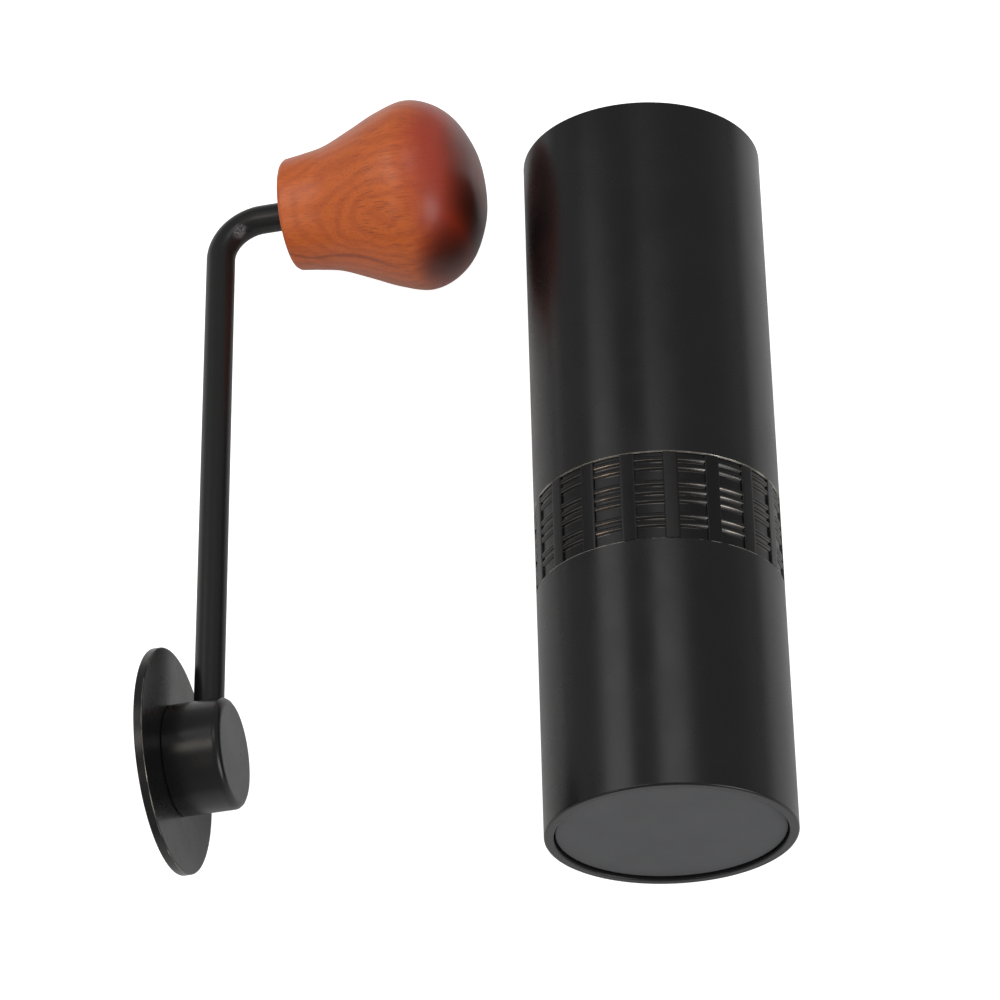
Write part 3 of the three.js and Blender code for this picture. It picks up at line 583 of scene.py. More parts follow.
def eased(outline, radius, closed):
    """Rounds the corners of an outline of (radius, height[, own rounding]) points."""
    points = []
    count = len(outline)
    for i, corner in enumerate(outline):
        here = Vector(corner[:2])
        if not closed and i in (0, count - 1):
            points.append(here)
            continue
        before = Vector(outline[i - 1][:2]) - here
        after = Vector(outline[(i + 1) % count][:2]) - here
        wanted = corner[2] if len(corner) > 2 else radius
        half = before.angle(after) / 2
        reach = min(wanted / math.tan(half), 0.4 * before.length, 0.4 * after.length)
        if half > math.radians(85) or reach < 0.005:
            points.append(here)
            continue
        start = here + before.normalized() * reach
        end = here + after.normalized() * reach
        middle = here + (before.normalized() + after.normalized()).normalized() * (reach / math.cos(half))
        if before.length - 2 * reach > 2.5 * SUPPORT:
            points.append(start + before.normalized() * SUPPORT)
        for step in range(ARC_STEPS + 1):
            spoke = (start - middle).lerp(end - middle, step / ARC_STEPS)
            points.append(middle + spoke.normalized() * (start - middle).length)
        if after.length - 2 * reach > 2.5 * SUPPORT:
            points.append(end + after.normalized() * SUPPORT)
    return points


print("arc steps at each edge:", ARC_STEPS)

# %% [markdown]
# ### Spin the outline
# The eased outline turns once round the axis. A point on the axis becomes a pole, and an outline
# that stays off the axis closes into a ring.

# %% Spin
def closed_mesh(name, shape):
    """Ends a bmesh: faces outwards, then a plain mesh."""
    bmesh.ops.recalc_face_normals(shape, faces=shape.faces)
    mesh = bpy.data.meshes.new(name)
    shape.to_mesh(mesh)
    shape.free()
    return mesh


def spun(name, outline, around=192, radius=0.15):
    """Spins an outline about z: a ring if it stays off the axis, otherwise a solid with two poles."""
    closed = outline[0][0] > 0
    points = eased(outline, radius, closed)
    shape = bmesh.new()
    loops = []
    for point in points:
        if point.x < 1e-6:
            loops.append([shape.verts.new((0, 0, point.y))])
            continue
        turns = [2 * math.pi * i / around for i in range(around)]
        loops.append([
            shape.verts.new((point.x * math.cos(a), point.x * math.sin(a), point.y)) for a in turns
        ])
    pairs = list(zip(loops, loops[1:]))
    if closed:
        pairs.append((loops[-1], loops[0]))
    for low, high in pairs:
        for i in range(around):
            j = (i + 1) % around
            if len(low) == 1:
                shape.faces.new((low[0], high[j], high[i]))
            elif len(high) == 1:
                shape.faces.new((low[i], low[j], high[0]))
            else:
                shape.faces.new((low[i], low[j], high[j], high[i]))
    return closed_mesh(name, shape)


print("rounded edges keep a flat of mm:", SUPPORT)

# %% [markdown]
# ## Putting a piece in its place
# A finished piece gets its place baked into its mesh, smooth shading up to a sharp edge, its
# finish and the body it moves with, and the plain CAD nodes that it stands for are hidden.

# %% Settle a piece
SMOOTH_BELOW = math.radians(32)
settled = []


def settle(name, mesh, place, slot, body, *nodes):
    """Bakes the place into the mesh, dresses it in its slot's finish, ties it to its body, and hides the
    CAD nodes it stands for.
    """
    mesh.transform(place)
    mesh.shade_smooth()
    mesh.set_sharp_from_angle(angle=SMOOTH_BELOW)
    mesh.materials.clear()
    mesh.materials.append(LOOKS[slot])
    piece = bpy.data.objects.new(name, mesh)
    scene.collection.objects.link(piece)
    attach(piece, body)
    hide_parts(*nodes)
    settled.append(piece)
    return piece


# %% [markdown]
# ## Cutting and joining
# A milled slot or a drilled hole is cut with a Boolean modifier, the way a tool cuts metal. The
# modifier is applied at once, so that what is kept is a plain mesh.

# %% Boolean work
def machined(mesh, *tools, operation="DIFFERENCE"):
    """Cuts each tool out of a mesh, or joins it on, and gives a new plain mesh."""
    stock = bpy.data.objects.new("stock", mesh)
    scene.collection.objects.link(stock)
    helpers = []
    for tool in tools:
        helper = bpy.data.objects.new("tool", tool)
        scene.collection.objects.link(helper)
        work = stock.modifiers.new("work", "BOOLEAN")
        work.operation = operation
        work.solver = "EXACT"
        work.object = helper
        helpers.append(helper)
    finished = stock.evaluated_get(bpy.context.evaluated_depsgraph_get())
    result = bpy.data.meshes.new_from_object(finished)
    result.name = mesh.name
    stock.modifiers.clear()
    for thing in [stock, *helpers]:
        bpy.data.objects.remove(thing)
    return result


def block(size, centre, turn=0.0, bevel=0.3):
    """A rectangular bar with rounded long edges, turned about z."""
    shape = bmesh.new()
    bmesh.ops.create_cube(shape, size=1.0)
    bmesh.ops.scale(shape, vec=size, verts=shape.verts)
    if bevel:
        bmesh.ops.bevel(shape, geom=shape.edges[:], offset=bevel, segments=3, affect="EDGES", profile=0.5)
    bmesh.ops.translate(shape, vec=centre, verts=shape.verts)
    bmesh.ops.rotate(shape, cent=(0, 0, 0), matrix=Matrix.Rotation(turn, 3, "Z"), verts=shape.verts)
    return closed_mesh("block", shape)


# %% [markdown]
# ## Growing
# What repeats or follows a path is grown by Geometry Nodes: the knurl, ribs and bars, the
# spring, the screws, the bent rod. A tree is run once on an empty object, its sizes set by the
# sockets' identifiers, and the result becomes a plain mesh.

# %% Grow a mesh from a tree
def growing(name, sizes):
    """A new geometry tree with a named input for each size and one for the finish."""
    tree = bpy.data.node_groups.new(name, "GeometryNodeTree")
    for size, value in sizes.items():
        kind = "NodeSocketInt" if isinstance(value, int) else "NodeSocketFloat"
        tree.interface.new_socket(size, in_out="INPUT", socket_type=kind)
    tree.interface.new_socket("Finish", in_out="INPUT", socket_type="NodeSocketMaterial")
    tree.interface.new_socket("Mesh", in_out="OUTPUT", socket_type="NodeSocketGeometry")
    return tree, node(tree, "NodeGroupInput").outputs


def grown(tree, geometry, given, sizes, slot, seed=None):
    """Ends the tree, runs it on an empty object or on a seed curve, and returns the mesh."""
    whole = node(tree, "GeometryNodeRealizeInstances", {"Geometry": geometry})
    dressed = node(tree, "GeometryNodeSetMaterial", {
        "Geometry": whole.outputs[0], "Material": given["Finish"],
    })
    node(tree, "NodeGroupOutput", {"Mesh": dressed.outputs[0]})
    stem = bpy.data.objects.new(tree.name, seed or bpy.data.meshes.new(tree.name))
    scene.collection.objects.link(stem)
    growth = stem.modifiers.new("growth", "NODES")
    growth.node_group = tree
    inputs = [item for item in tree.interface.items_tree if item.in_out == "INPUT"]
    sockets = {item.name: item.identifier for item in inputs}
    for size, value in sizes.items():
        growth[sockets[size]] = value
    growth[sockets["Finish"]] = LOOKS[slot]
    mesh = bpy.data.meshes.new_from_object(stem.evaluated_get(bpy.context.evaluated_depsgraph_get()))
    mesh.name = tree.name
    stem.modifiers.clear()
    bpy.data.objects.remove(stem)
    return mesh


print("a tree grows on an empty object")

# %% [markdown]
# ### Copies and moves
# Copies that stand round the axis share one rule: the angle is the copy's number times the turn.

# %% Spread, move and join
def spread(tree, geometry, count, turn, start):
    """Sets copies of a geometry round the z axis: count of them, turn apart, the first at start."""
    points = node(tree, "GeometryNodePoints", {"Count": count})
    index = node(tree, "GeometryNodeInputIndex").outputs[0]
    spin = offset(tree, Z=maths(tree, "MULTIPLY_ADD", index, turn, start))
    copies = node(tree, "GeometryNodeInstanceOnPoints", {
        "Points": points.outputs[0], "Instance": geometry, "Rotation": spin,
    })
    return copies.outputs[0]


def moved(tree, geometry, way, turn=(0, 0, 0)):
    """The geometry, turned and then moved by a vector."""
    return node(tree, "GeometryNodeTransform", {
        "Geometry": geometry, "Translation": way, "Rotation": turn,
    }).outputs[0]


def joined(name, *meshes):
    """Several meshes as one, without cutting them."""
    shape = bmesh.new()
    for mesh in meshes:
        shape.from_mesh(mesh)
    whole = bpy.data.meshes.new(name)
    shape.to_mesh(whole)
    shape.free()
    return whole


print("copies stand round the z axis")

# %% [markdown]
# ### Curves
# A bar is a closed profile swept along a line, and a small fillet takes the sharpness off the
# profile's corners first.

# %% Sweep along curves
def swept(tree, line, profile, caps=True):
    """A solid bar: the profile curve carried along the line curve."""
    return node(tree, "GeometryNodeCurveToMesh", {
        "Curve": line, "Profile Curve": profile, "Fill Caps": caps,
    }).outputs[0]


def upright(tree, given):
    """A straight line up the axis from the tree's foot to its head."""
    ends = {"Start": offset(tree, Z=given["Foot"]), "End": offset(tree, Z=given["Head"])}
    return node(tree, "GeometryNodeCurvePrimitiveLine", ends).outputs[0]


def hoop(tree, points, radius):
    """A circle with so many points."""
    sizes = {"Resolution": points, "Radius": radius}
    return node(tree, "GeometryNodeCurvePrimitiveCircle", sizes).outputs[0]


def filleted(tree, curve, steps, radius, capped=True):
    """Rounds the corners of a curve with small arcs."""
    return node(tree, "GeometryNodeFilletCurve", {
        "Curve": curve, "Count": steps, "Radius": radius, "Limit Radius": capped,
    }, mode="POLY").outputs[0]


print("helpers for growing are ready")

# %% [markdown]
# ## Barrel tube
# The upper shell is turned from bar: a rounded rim at the mouth, a ledge for the upper
# bracket, the hopper's bore, the flange that carries the burr, and below the grip band a spigot
# with a groove, on which the cup pushes. Three screw holes go through the flange.

# %% Turn the tube
BARREL_R = 29.0
BARREL_LENGTH = 178.8
SCREW_CIRCLE = 21.4
SCREW_HOLE = 1.75


def screw_holes(foot, head):
    """Three drills on the screw circle."""
    drills = []
    for i in range(3):
        turn = 2 * math.pi * i / 3
        drill = spun("drill", [(0, foot), (SCREW_HOLE, foot), (SCREW_HOLE, head), (0, head)], 32, 0)
        centre = (SCREW_CIRCLE * math.cos(turn), SCREW_CIRCLE * math.sin(turn), 0)
        drill.transform(Matrix.Translation(centre))
        drills.append(drill)
    return drills


tube = spun("barrel_tube_shell", [
    (24.2, 50), (25.95, 50), (26.3, 50.35), (26.3, 54), (25.1, 54), (25.1, 56.8), (26.3, 56.8),
    (26.3, BAND_FOOT), (27.2, BAND_FOOT), (27.2, BAND_HEAD), (BARREL_R - 0.3, BAND_HEAD, 0.05),
    (BARREL_R, BAND_HEAD + 0.3, 0.1), (BARREL_R, BARREL_LENGTH, 0.45), (26.9, BARREL_LENGTH, 0.35),
    (26.9, 166.1), (27.7, 166.1), (27.7, 164.3), (26.9, 164.3), (26.9, 158), (25.9, 158), (25.9, 94, 0.6),
    (17.2, 94), (17.2, 86.3), (24.2, 86.3, 0.4),
], 240)
tube = machined(tube, *screw_holes(80, 100))
settle("barrel_tube_shell", tube, BARREL_PLACE, "black_anodised", "barrel", "barrel_tube")
print("tube faces:", len(tube.polygons))

# %% [markdown]
# ## Grip band
# The band is a sleeve let into the tube. Upright bars, flush with the tube, part it into eighteen
# panels, and in each panel stand seven thin ribs, in groups of two, three and two. Ribs and bars
# are one rule each, so a tree repeats them: a rib is a small flat-topped ridge swept round
# a circle, and a bar is a rounded rectangle swept up a line.

# %% Bars
FIRST_BAR = math.radians(93.9)
BAR_HALF_TURN = math.radians(3.45)
sizes = {
    "Barrel Radius": BARREL_R, "Panels": 18, "Panel Turn": math.radians(20), "First Bar": FIRST_BAR,
    "Bar Arc Width": 2 * BARREL_R * math.sin(BAR_HALF_TURN), "Bar Reach": BARREL_R, "Bar Depth": 1.1,
    "Foot": BAND_FOOT - 0.25, "Head": BAND_HEAD - 0.05, "Ribs": 7, "First Rib": BAND_HEAD - 2.2,
    "Rib Pitch": 2.2, "Group Gap": 1.8, "Rib Root": 28.42, "Rib Width": 0.95, "Rib Top": 0.7,
    "Rib Height": 0.62,
}
tree, given = growing("band_ribs_and_bars", sizes)
section = node(tree, "GeometryNodeCurvePrimitiveQuadrilateral", {
    "Width": given["Bar Depth"], "Height": given["Bar Arc Width"],
})
section = filleted(tree, section.outputs[0], 3, 0.16)
inset = maths(tree, "MULTIPLY_ADD", given["Bar Depth"], -0.5, given["Bar Reach"])
section = moved(tree, section, offset(tree, X=inset))
section = node(tree, "GeometryNodeSubdivideCurve", {"Curve": section, "Cuts": 6})
across = node(tree, "GeometryNodeInputPosition").outputs[0]
across = node(tree, "ShaderNodeSeparateXYZ", {0: across}).outputs["Y"]
across = maths(tree, "POWER", across, 2.0)
square = maths(tree, "POWER", given["Barrel Radius"], 2.0)
reach = maths(tree, "SQRT", maths(tree, "SUBTRACT", square, across))
fall = offset(tree, X=maths(tree, "SUBTRACT", reach, given["Barrel Radius"]))
section = node(tree, "GeometryNodeSetPosition", {"Geometry": section.outputs[0], "Offset": fall})
bar = swept(tree, upright(tree, given), section.outputs[0])
bars = spread(tree, bar, given["Panels"], given["Panel Turn"], given["First Bar"])
print("panels:", sizes["Panels"])

# %% [markdown]
# ### Ribs
# A rib's height follows from its number: one pitch further down each time, and one wider gap more
# after the second and after the fifth.

# %% Ribs
ridge = node(tree, "GeometryNodeCurvePrimitiveQuadrilateral", {
    "Height": given["Rib Height"], "Bottom Width": given["Rib Width"], "Top Width": given["Rib Top"],
}, mode="TRAPEZOID")
ridge = filleted(tree, ridge.outputs[0], 3, 0.07)
lift = offset(tree, X=maths(tree, "MULTIPLY", given["Rib Height"], 0.3))
ridge = moved(tree, ridge, lift, (0, 0, -math.pi / 2))
rib = swept(tree, hoop(tree, 180, given["Rib Root"]), ridge, False)
points = node(tree, "GeometryNodePoints", {"Count": given["Ribs"]})
index = node(tree, "GeometryNodeInputIndex").outputs[0]
second_group = maths(tree, "GREATER_THAN", index, 1.5)
third_group = maths(tree, "GREATER_THAN", index, 4.5)
drop = maths(tree, "ADD", second_group, third_group)
drop = maths(tree, "MULTIPLY", drop, given["Group Gap"])
drop = maths(tree, "MULTIPLY_ADD", index, given["Rib Pitch"], drop)
level = offset(tree, Z=maths(tree, "SUBTRACT", given["First Rib"], drop))
rows = node(tree, "GeometryNodeSetPosition", {"Geometry": points.outputs[0], "Position": level})
ribs = node(tree, "GeometryNodeInstanceOnPoints", {"Points": rows.outputs[0], "Instance": rib})
print("ribs in a panel:", sizes["Ribs"])

# %% [markdown]
# ### Band as one piece
# The relief is grown once, and a thin turned sleeve behind it closes the panels.

# %% Band
both = node(tree, "GeometryNodeJoinGeometry")
for part in (bars, ribs.outputs[0]):
    tree.links.new(part, both.inputs[0])
relief = grown(tree, both.outputs[0], given, sizes, "band_anodised")

sleeve = spun("band_sleeve", [
    (27.6, BAND_FOOT - 0.25), (28.5, BAND_FOOT - 0.25), (28.5, BAND_HEAD - 0.05), (27.6, BAND_HEAD - 0.05),
], 240, 0.05)
settle("grip_band_ribbed", joined("grip_band_ribbed", sleeve, relief), BARREL_PLACE, "band_anodised",
       "barrel", "grip_band")
print("band faces:", len(relief.polygons))

# %% [markdown]
# ## Catch cup and base pad
# The lower tube is a cup that catches the grounds. Its foot is a thin rounded lip, and a grey pad
# lies one millimetre inside it, so the lip alone touches the table when the grinder stands.

# %% Cup and pad
cup = spun("catch_cup_shell", [
    (0, 2.5), (26.7, 2.5, 0.1), (26.7, 0, 0.35), (BARREL_R, 0, 0.5), (BARREL_R, BAND_FOOT - 0.3, 0.12),
    (26.9, BAND_FOOT - 0.3, 0.3), (26.9, 4.5, 2.0), (0, 4.5),
], 240)
settle("catch_cup_shell", cup, BARREL_PLACE, "black_anodised", "cup", "catch_cup")
pad = spun("base_pad_disc", [(0, 1.0), (26.45, 1.0, 0.3), (26.45, 2.2), (0, 2.2)], 240)
settle("base_pad_disc", pad, BARREL_PLACE, "pad_grey", "cup", "base_pad")
seal = spun("cup_seal_ring", [
    (26.0 + 0.62 * math.cos(a), 55.4 + 0.95 * math.sin(a)) for a in [math.pi * i / 12 for i in range(24)]
], 192, 0)
settle("cup_seal_ring", seal, BARREL_PLACE, "black_rubber", "barrel", "cup_seal")
print("cup faces:", len(cup.polygons))

# %% [markdown]
# ## Brackets and bearings
# Each bracket is a rim and a hub with three spokes between them, milled from one plate: the
# rings are turned, the spokes are rounded blocks, and Boolean unions make them one. The bearings
# are shielded ones, so a thin plate closes the gap between their rings.

# %% Brackets
BRACKET_HUB_R = 10


def spoked(name, rim, bore, foot, head, turn):
    """A bracket: rim, three spokes and a hub with a seat for its bearing."""
    outer = spun(name, [(bore, foot), (rim, foot), (rim, head), (bore, head)], 192, 0.25)
    hub = spun("hub", [
        (6.3, foot), (BRACKET_HUB_R, foot), (BRACKET_HUB_R, head), (8.05, head), (8.05, foot + 1.4),
        (6.3, foot + 1.4),
    ], 128, 0.2)
    spokes = []
    for i in range(3):
        size = (bore - BRACKET_HUB_R + 2.4, 5, head - foot - 1.0)
        centre = ((BRACKET_HUB_R + bore) / 2, 0, (foot + head) / 2)
        spokes.append(block(size, centre, 2 * math.pi * i / 3 + turn, 0.5))
    return machined(outer, hub, *spokes, operation="UNION")


top = spoked("top_bracket_spoked", 26.6, 23.4, 158.3, 164.3, 0)
settle("top_bracket_spoked", top, BARREL_PLACE, "bright_steel", "barrel", "top_bracket")
low = machined(spoked("low_bracket_spoked", 25.6, 18.6, 94.3, 101.6, math.pi / 3), *screw_holes(90, 105))
settle("low_bracket_spoked", low, BARREL_PLACE, "bright_steel", "barrel", "low_bracket")

for where, foot in (("top", 159.1), ("low", 96.4)):
    outer = spun(f"{where}_bearing_race", [
        (6.5, foot), (8.0, foot, 0.3), (8.0, foot + 5, 0.3), (6.5, foot + 5), (6.5, foot + 4.8, 0.02),
        (5.75, foot + 4.8, 0.05), (5.75, foot + 4.6, 0.05), (6.5, foot + 4.6, 0.02),
    ], 128, 0.12)
    settle(f"{where}_bearing_race", outer, BARREL_PLACE, "bright_steel", "barrel", f"{where}_bearing_outer")
    inner = spun(f"{where}_bearing_cone", [
        (4.3, foot, 0.25), (5.6, foot), (5.6, foot + 5), (4.3, foot + 5, 0.25),
    ], 128, 0.12)
    settle(f"{where}_bearing_cone", inner, BARREL_PLACE, "bright_steel", "drive", f"{where}_bearing_inner")
print("spoked brackets:", 2)

# %% [markdown]
# ## Retaining rings
# Spring-steel rings are stamped from sheet, so they are flat, with an open gap and slightly
# rounded edges. Four of them hold turning pieces, and one holds the upper bracket in the mouth.

# %% Stamp the rings
def stamped(name, outer, inner, foot, thick, half_gap, edge=0.08):
    """An open flat ring with its gap towards +x."""
    steps = 120
    shape = bmesh.new()
    head = foot + thick
    section = eased([(inner, foot), (outer, foot), (outer, head), (inner, head)], edge, True)
    loops = []
    for i in range(steps + 1):
        turn = half_gap + (2 * math.pi - 2 * half_gap) * i / steps
        loops.append([shape.verts.new((p.x * math.cos(turn), p.x * math.sin(turn), p.y)) for p in section])
    count = len(section)
    for low_loop, high_loop in zip(loops, loops[1:]):
        for i in range(count):
            j = (i + 1) % count
            shape.faces.new((low_loop[i], low_loop[j], high_loop[j], high_loop[i]))
    shape.faces.new(loops[0])
    shape.faces.new(loops[-1])
    return closed_mesh(name, shape)


RINGS = [
    ("bracket_snap_ring", BARREL_PLACE, "barrel", (27.4, 24.6, 164.6, 1.2, 0.22)),
    ("shaft_top_clip", BARREL_PLACE, "drive", (5.8, 3.4, 164.4, 0.8, 0.5)),
    ("dial_clip", BARREL_PLACE, "drive", (6.0, 3.4, 42.2, 0.8, 0.5)),
    ("lid_clip", CRANK_PLACE, "crank", (11.4, 9.0, -4.55, 0.8, 0.35)),
    ("knob_clip", KNOB_PLACE, "crank", (4.9, 2.9, 61.5, 0.8, 0.4)),
]
for clip, place, body, measures in RINGS:
    settle(f"{clip}_open", stamped(f"{clip}_open", *measures), place, "bright_steel", body, clip)
print("retaining rings:", len(RINGS))

# %% [markdown]
# ## Burrs
# The two burrs do the work: a toothed cone turns inside a toothed ring. Their teeth follow a
# rule, so the radius at each angle and height comes from a formula: a cone that narrows upward,
# less a saw tooth whose start leans over with height. The teeth of the two burrs lean in
# opposite ways, so they shear the beans like scissors.

# %% Cut the teeth
TEETH = 20
TOOTH_DEPTH = 0.8


def toothed(name, rows, plain, lead, inside):
    """A ring with one toothed wall between rows of (radius, height), and one plain wall."""
    steps = 12 * TEETH
    levels = []
    for i in range(len(rows) - 1):
        for step in range(6):
            part = step / 6
            radius = rows[i][0] + (rows[i + 1][0] - rows[i][0]) * part
            height = rows[i][1] + (rows[i + 1][1] - rows[i][1]) * part
            levels.append((radius, height, lead * (i + part)))
    levels.append((*rows[-1], lead * (len(rows) - 1)))
    shape = bmesh.new()
    loops = []
    for radius, height, lean in levels:
        loop = []
        for i in range(steps):
            turn = 2 * math.pi * i / steps
            phase = ((turn - lean) * TEETH / (2 * math.pi)) % 1
            fall = phase / 0.4 if phase < 0.4 else (1 - phase) / 0.6
            depth = TOOTH_DEPTH * min(1.0, fall * 1.08)
            reach = radius + depth if inside else radius - depth
            loop.append(shape.verts.new((reach * math.cos(turn), reach * math.sin(turn), height)))
        loops.append(loop)
    for height in (rows[-1][1], rows[0][1]):
        turns = [2 * math.pi * i / steps for i in range(steps)]
        loops.append([shape.verts.new((plain * math.cos(a), plain * math.sin(a), height)) for a in turns])
    for low_loop, high_loop in zip(loops, loops[1:] + loops[:1]):
        for i in range(steps):
            j = (i + 1) % steps
            shape.faces.new((low_loop[i], low_loop[j], high_loop[j], high_loop[i]))
    return closed_mesh(name, shape)


print("steps round a burr:", 12 * TEETH)

# %% [markdown]
# ### Both burrs
# The ring gets a flange for its three screws, and the cone a bore with two flats, so that it turns
# with the shaft and still slides along it.

# %% Both burrs
def flat_bore(foot, head, radius=4.25, half=3.25):
    """A cutter for a bore with two flats, as on the shaft."""
    round_part = spun("bore", [(0, foot), (radius, foot), (radius, head), (0, head)], 64, 0)
    return machined(round_part, block((12, 2 * half, head - foot + 2), (0, 0, (foot + head) / 2), 0, 0),
                    operation="INTERSECT")


outer_teeth = toothed("outer_burr_toothed", [(16.6, 64), (16, 68), (13.6, 76), (12.2, 86)], 18.6, 0.1, True)
rim = spun("rim", [(17.9, 82.2), (23.9, 82.2), (23.9, 86), (17.9, 86)], 192, 0.2)
outer_teeth = machined(outer_teeth, rim, operation="UNION")
outer_teeth = machined(outer_teeth, *screw_holes(80, 90))
settle("outer_burr_toothed", outer_teeth, BARREL_PLACE, "burr_steel", "barrel", "outer_burr")

inner_teeth = toothed("inner_burr_toothed", [(15.4, 63), (15, 68), (11.9, 76), (8.2, 83), (6.9, 87.5)],
                      2.0, -0.12, False)
inner_teeth = machined(inner_teeth, flat_bore(60, 90))
settle("inner_burr_toothed", inner_teeth, BARREL_PLACE, "burr_steel", "burr", "inner_burr")
print("teeth per burr:", TEETH)

# %% [markdown]
# ## Drive shaft
# The shaft is a ground rod with grooves for its clips, flats for the burr and a flat tang that
# fits the slot in the crank's hub. It is turned as one piece, and blocks then cut the flats.

# %% Shaft
shaft = spun("drive_shaft_ground", [
    (0, 40.5), (4, 40.5, 0.5), (4, 41.9), (3.1, 41.9), (3.1, 43.3), (4, 43.3), (4, 164.1), (3.1, 164.1),
    (3.1, 165.5), (4, 165.5), (4, 177.8, 0.6), (0, 177.8),
], 96, 0.08)
TANG_TURN = math.radians(-37.5)
waste = [block((12, 4, 9.0), (0, way * 3.9, 174.5), TANG_TURN, 0.0) for way in (1, -1)]
waste += [block((12, 4, 34.2), (0, way * 5.0, 72.4), 0, 0.0) for way in (1, -1)]
shaft = machined(shaft, *waste)
settle("drive_shaft_ground", shaft, BARREL_PLACE, "bright_steel", "drive", "drive_shaft")
print("shaft faces:", len(shaft.polygons))

# %% [markdown]
# ### Spring
# The spring presses the burr cone down on the dial. It is a circle swept along a spiral, so the
# number of turns, the coil and the wire are its only sizes.

# %% Spring
sizes = {"Turns": 3.25, "Coil Radius": 4.95, "Wire Radius": 0.5, "Foot": 88.8, "Rise": 6.8}
tree, given = growing("burr_spring_coil", sizes)
spiral = node(tree, "GeometryNodeCurveSpiral", {
    "Resolution": 48, "Rotations": given["Turns"], "Start Radius": given["Coil Radius"],
    "End Radius": given["Coil Radius"], "Height": given["Rise"],
})
coil = swept(tree, spiral.outputs[0], hoop(tree, 16, given["Wire Radius"]))
coil = moved(tree, coil, offset(tree, Z=given["Foot"]))
spring = grown(tree, coil, given, sizes, "bright_steel")
settle("burr_spring_coil", spring, BARREL_PLACE, "bright_steel", "drive", "burr_spring")
print("spring faces:", len(spring.polygons))

# %% [markdown]
# ### Burr screws
# Three screws hold the outer burr in the tube. One is turned and its socket cut, and the tree
# then sets it on the screw circle three times.

# %% Screws
screw = spun("screw", [
    (0, 79.7), (2.4, 79.7, 0.45), (2.4, 81.9), (1.45, 81.9), (1.45, 101.0, 0.3), (0, 101.0),
], 64, 0.1)
socket = spun("socket", [(0, 78.7), (1.35, 78.7), (1.35, 80.9), (0, 80.9)], 6, 0)
screw = machined(screw, socket)
screw_model = bpy.data.objects.new("screw_model", screw)
scene.collection.objects.link(screw_model)
sizes = {"Screws": 3, "Turn": 2 * math.pi / 3, "Circle": SCREW_CIRCLE}
tree, given = growing("burr_screws_three", sizes)
model = node(tree, "GeometryNodeObjectInfo", {"Object": screw_model})
model = moved(tree, model.outputs["Geometry"], offset(tree, X=given["Circle"]))
copies = spread(tree, model, given["Screws"], given["Turn"], 0.0)
screws = grown(tree, copies, given, sizes, "bright_steel")
bpy.data.node_groups.remove(tree)
bpy.data.objects.remove(screw_model)
settle("burr_screws_three", screws, BARREL_PLACE, "bright_steel", "barrel",
       "burr_screw_1", "burr_screw_2", "burr_screw_3")
print("screw faces:", len(screws.polygons))

# %% [markdown]
# ## Grind dial
# The dial is a black nut under the burrs that sets how fine the grinder cuts. It has thirty
# knurls that repeat, so a tree sets them round a plain nut. Ten shallow grooves on its face, one
# for each click, show how far it has been turned.

# %% Dial and its knurl
sizes = {"Knurls": 30, "Turn": math.radians(12), "Crest": 19.0, "Foot": 45.5, "Head": 54.5}
tree, given = growing("dial_knurl", sizes)
KNURL_R = 1.15
shift = offset(tree, X=maths(tree, "SUBTRACT", given["Crest"], KNURL_R))
tooth = moved(tree, hoop(tree, 16, KNURL_R), shift)
tooth = swept(tree, upright(tree, given), tooth)
copies = spread(tree, tooth, given["Knurls"], given["Turn"], 0.0)
knurl = grown(tree, copies, given, sizes, "black_anodised")
nut = spun("nut", [
    (4.25, 45, 0.4), (18.3, 45, 0.5), (18.3, 55, 0.5), (14.5, 55, 0.3), (14.5, 52), (4.25, 52),
], 192, 0.1)
CLICKS = 10
ticks = [block((3.0, 0.5, 0.5), (16.2, 0, 45), 2 * math.pi * i / CLICKS, 0.0) for i in range(CLICKS)]
nut = machined(nut, *ticks)
settle("adjust_dial_knurled", joined("adjust_dial_knurled", nut, knurl), BARREL_PLACE, "black_anodised",
       "dial", "adjust_dial")
print("knurl faces:", len(knurl.polygons))

# %% [markdown]
# ### Clicks
# The dial carries a steel plate with ten dimples. Two balls in a nylon carrier, which is keyed to
# the shaft, drop into them, and each drop is one click.

# %% Click plate, carrier and balls
plate = spun("click_ring_plate", [(4.3, 52.3), (14, 52.3), (14, 53.9), (4.3, 53.9)], 128, 0.15)
BALL_CIRCLE = 11.5
BALL_R = 1.15
dimples = []
for i in range(CLICKS):
    turn = 2 * math.pi * i / CLICKS
    dimple = bmesh.new()
    bmesh.ops.create_uvsphere(dimple, u_segments=24, v_segments=12, radius=1.25)
    centre = (BALL_CIRCLE * math.cos(turn), BALL_CIRCLE * math.sin(turn), 54.6)
    bmesh.ops.translate(dimple, vec=centre, verts=dimple.verts)
    dimples.append(closed_mesh("dimple", dimple))
settle("click_ring_plate", machined(plate, *dimples), BARREL_PLACE, "bright_steel", "dial", "click_ring")
carrier = spun("click_carrier_turned", [
    (4.0, 57.6), (8, 57.6), (8, 55.6), (13.6, 55.6, 0.4), (13.6, 61.8, 0.6), (4.0, 61.8),
], 128, 0.2)
carrier = machined(carrier, flat_bore(50, 65, 4.28, 3.28))
settle("click_carrier_turned", carrier, BARREL_PLACE, "white_nylon", "drive", "click_carrier")
for i, x in enumerate((BALL_CIRCLE, -BALL_CIRCLE)):
    ball = bmesh.new()
    bmesh.ops.create_uvsphere(ball, u_segments=32, v_segments=16, radius=BALL_R)
    bmesh.ops.translate(ball, vec=(x, 0, 55.45), verts=ball.verts)
    name = f"click_ball_{i + 1}"
    settle(f"{name}_polished", closed_mesh(name, ball), BARREL_PLACE, "bright_steel", "drive", name)
print("clicks per turn:", CLICKS)

# %% [markdown]
# ## Lid
# The lid is a thin turned disc. A flanged nylon bush, pressed into it from below, lets the hub
# turn in it without wearing the anodised edge.

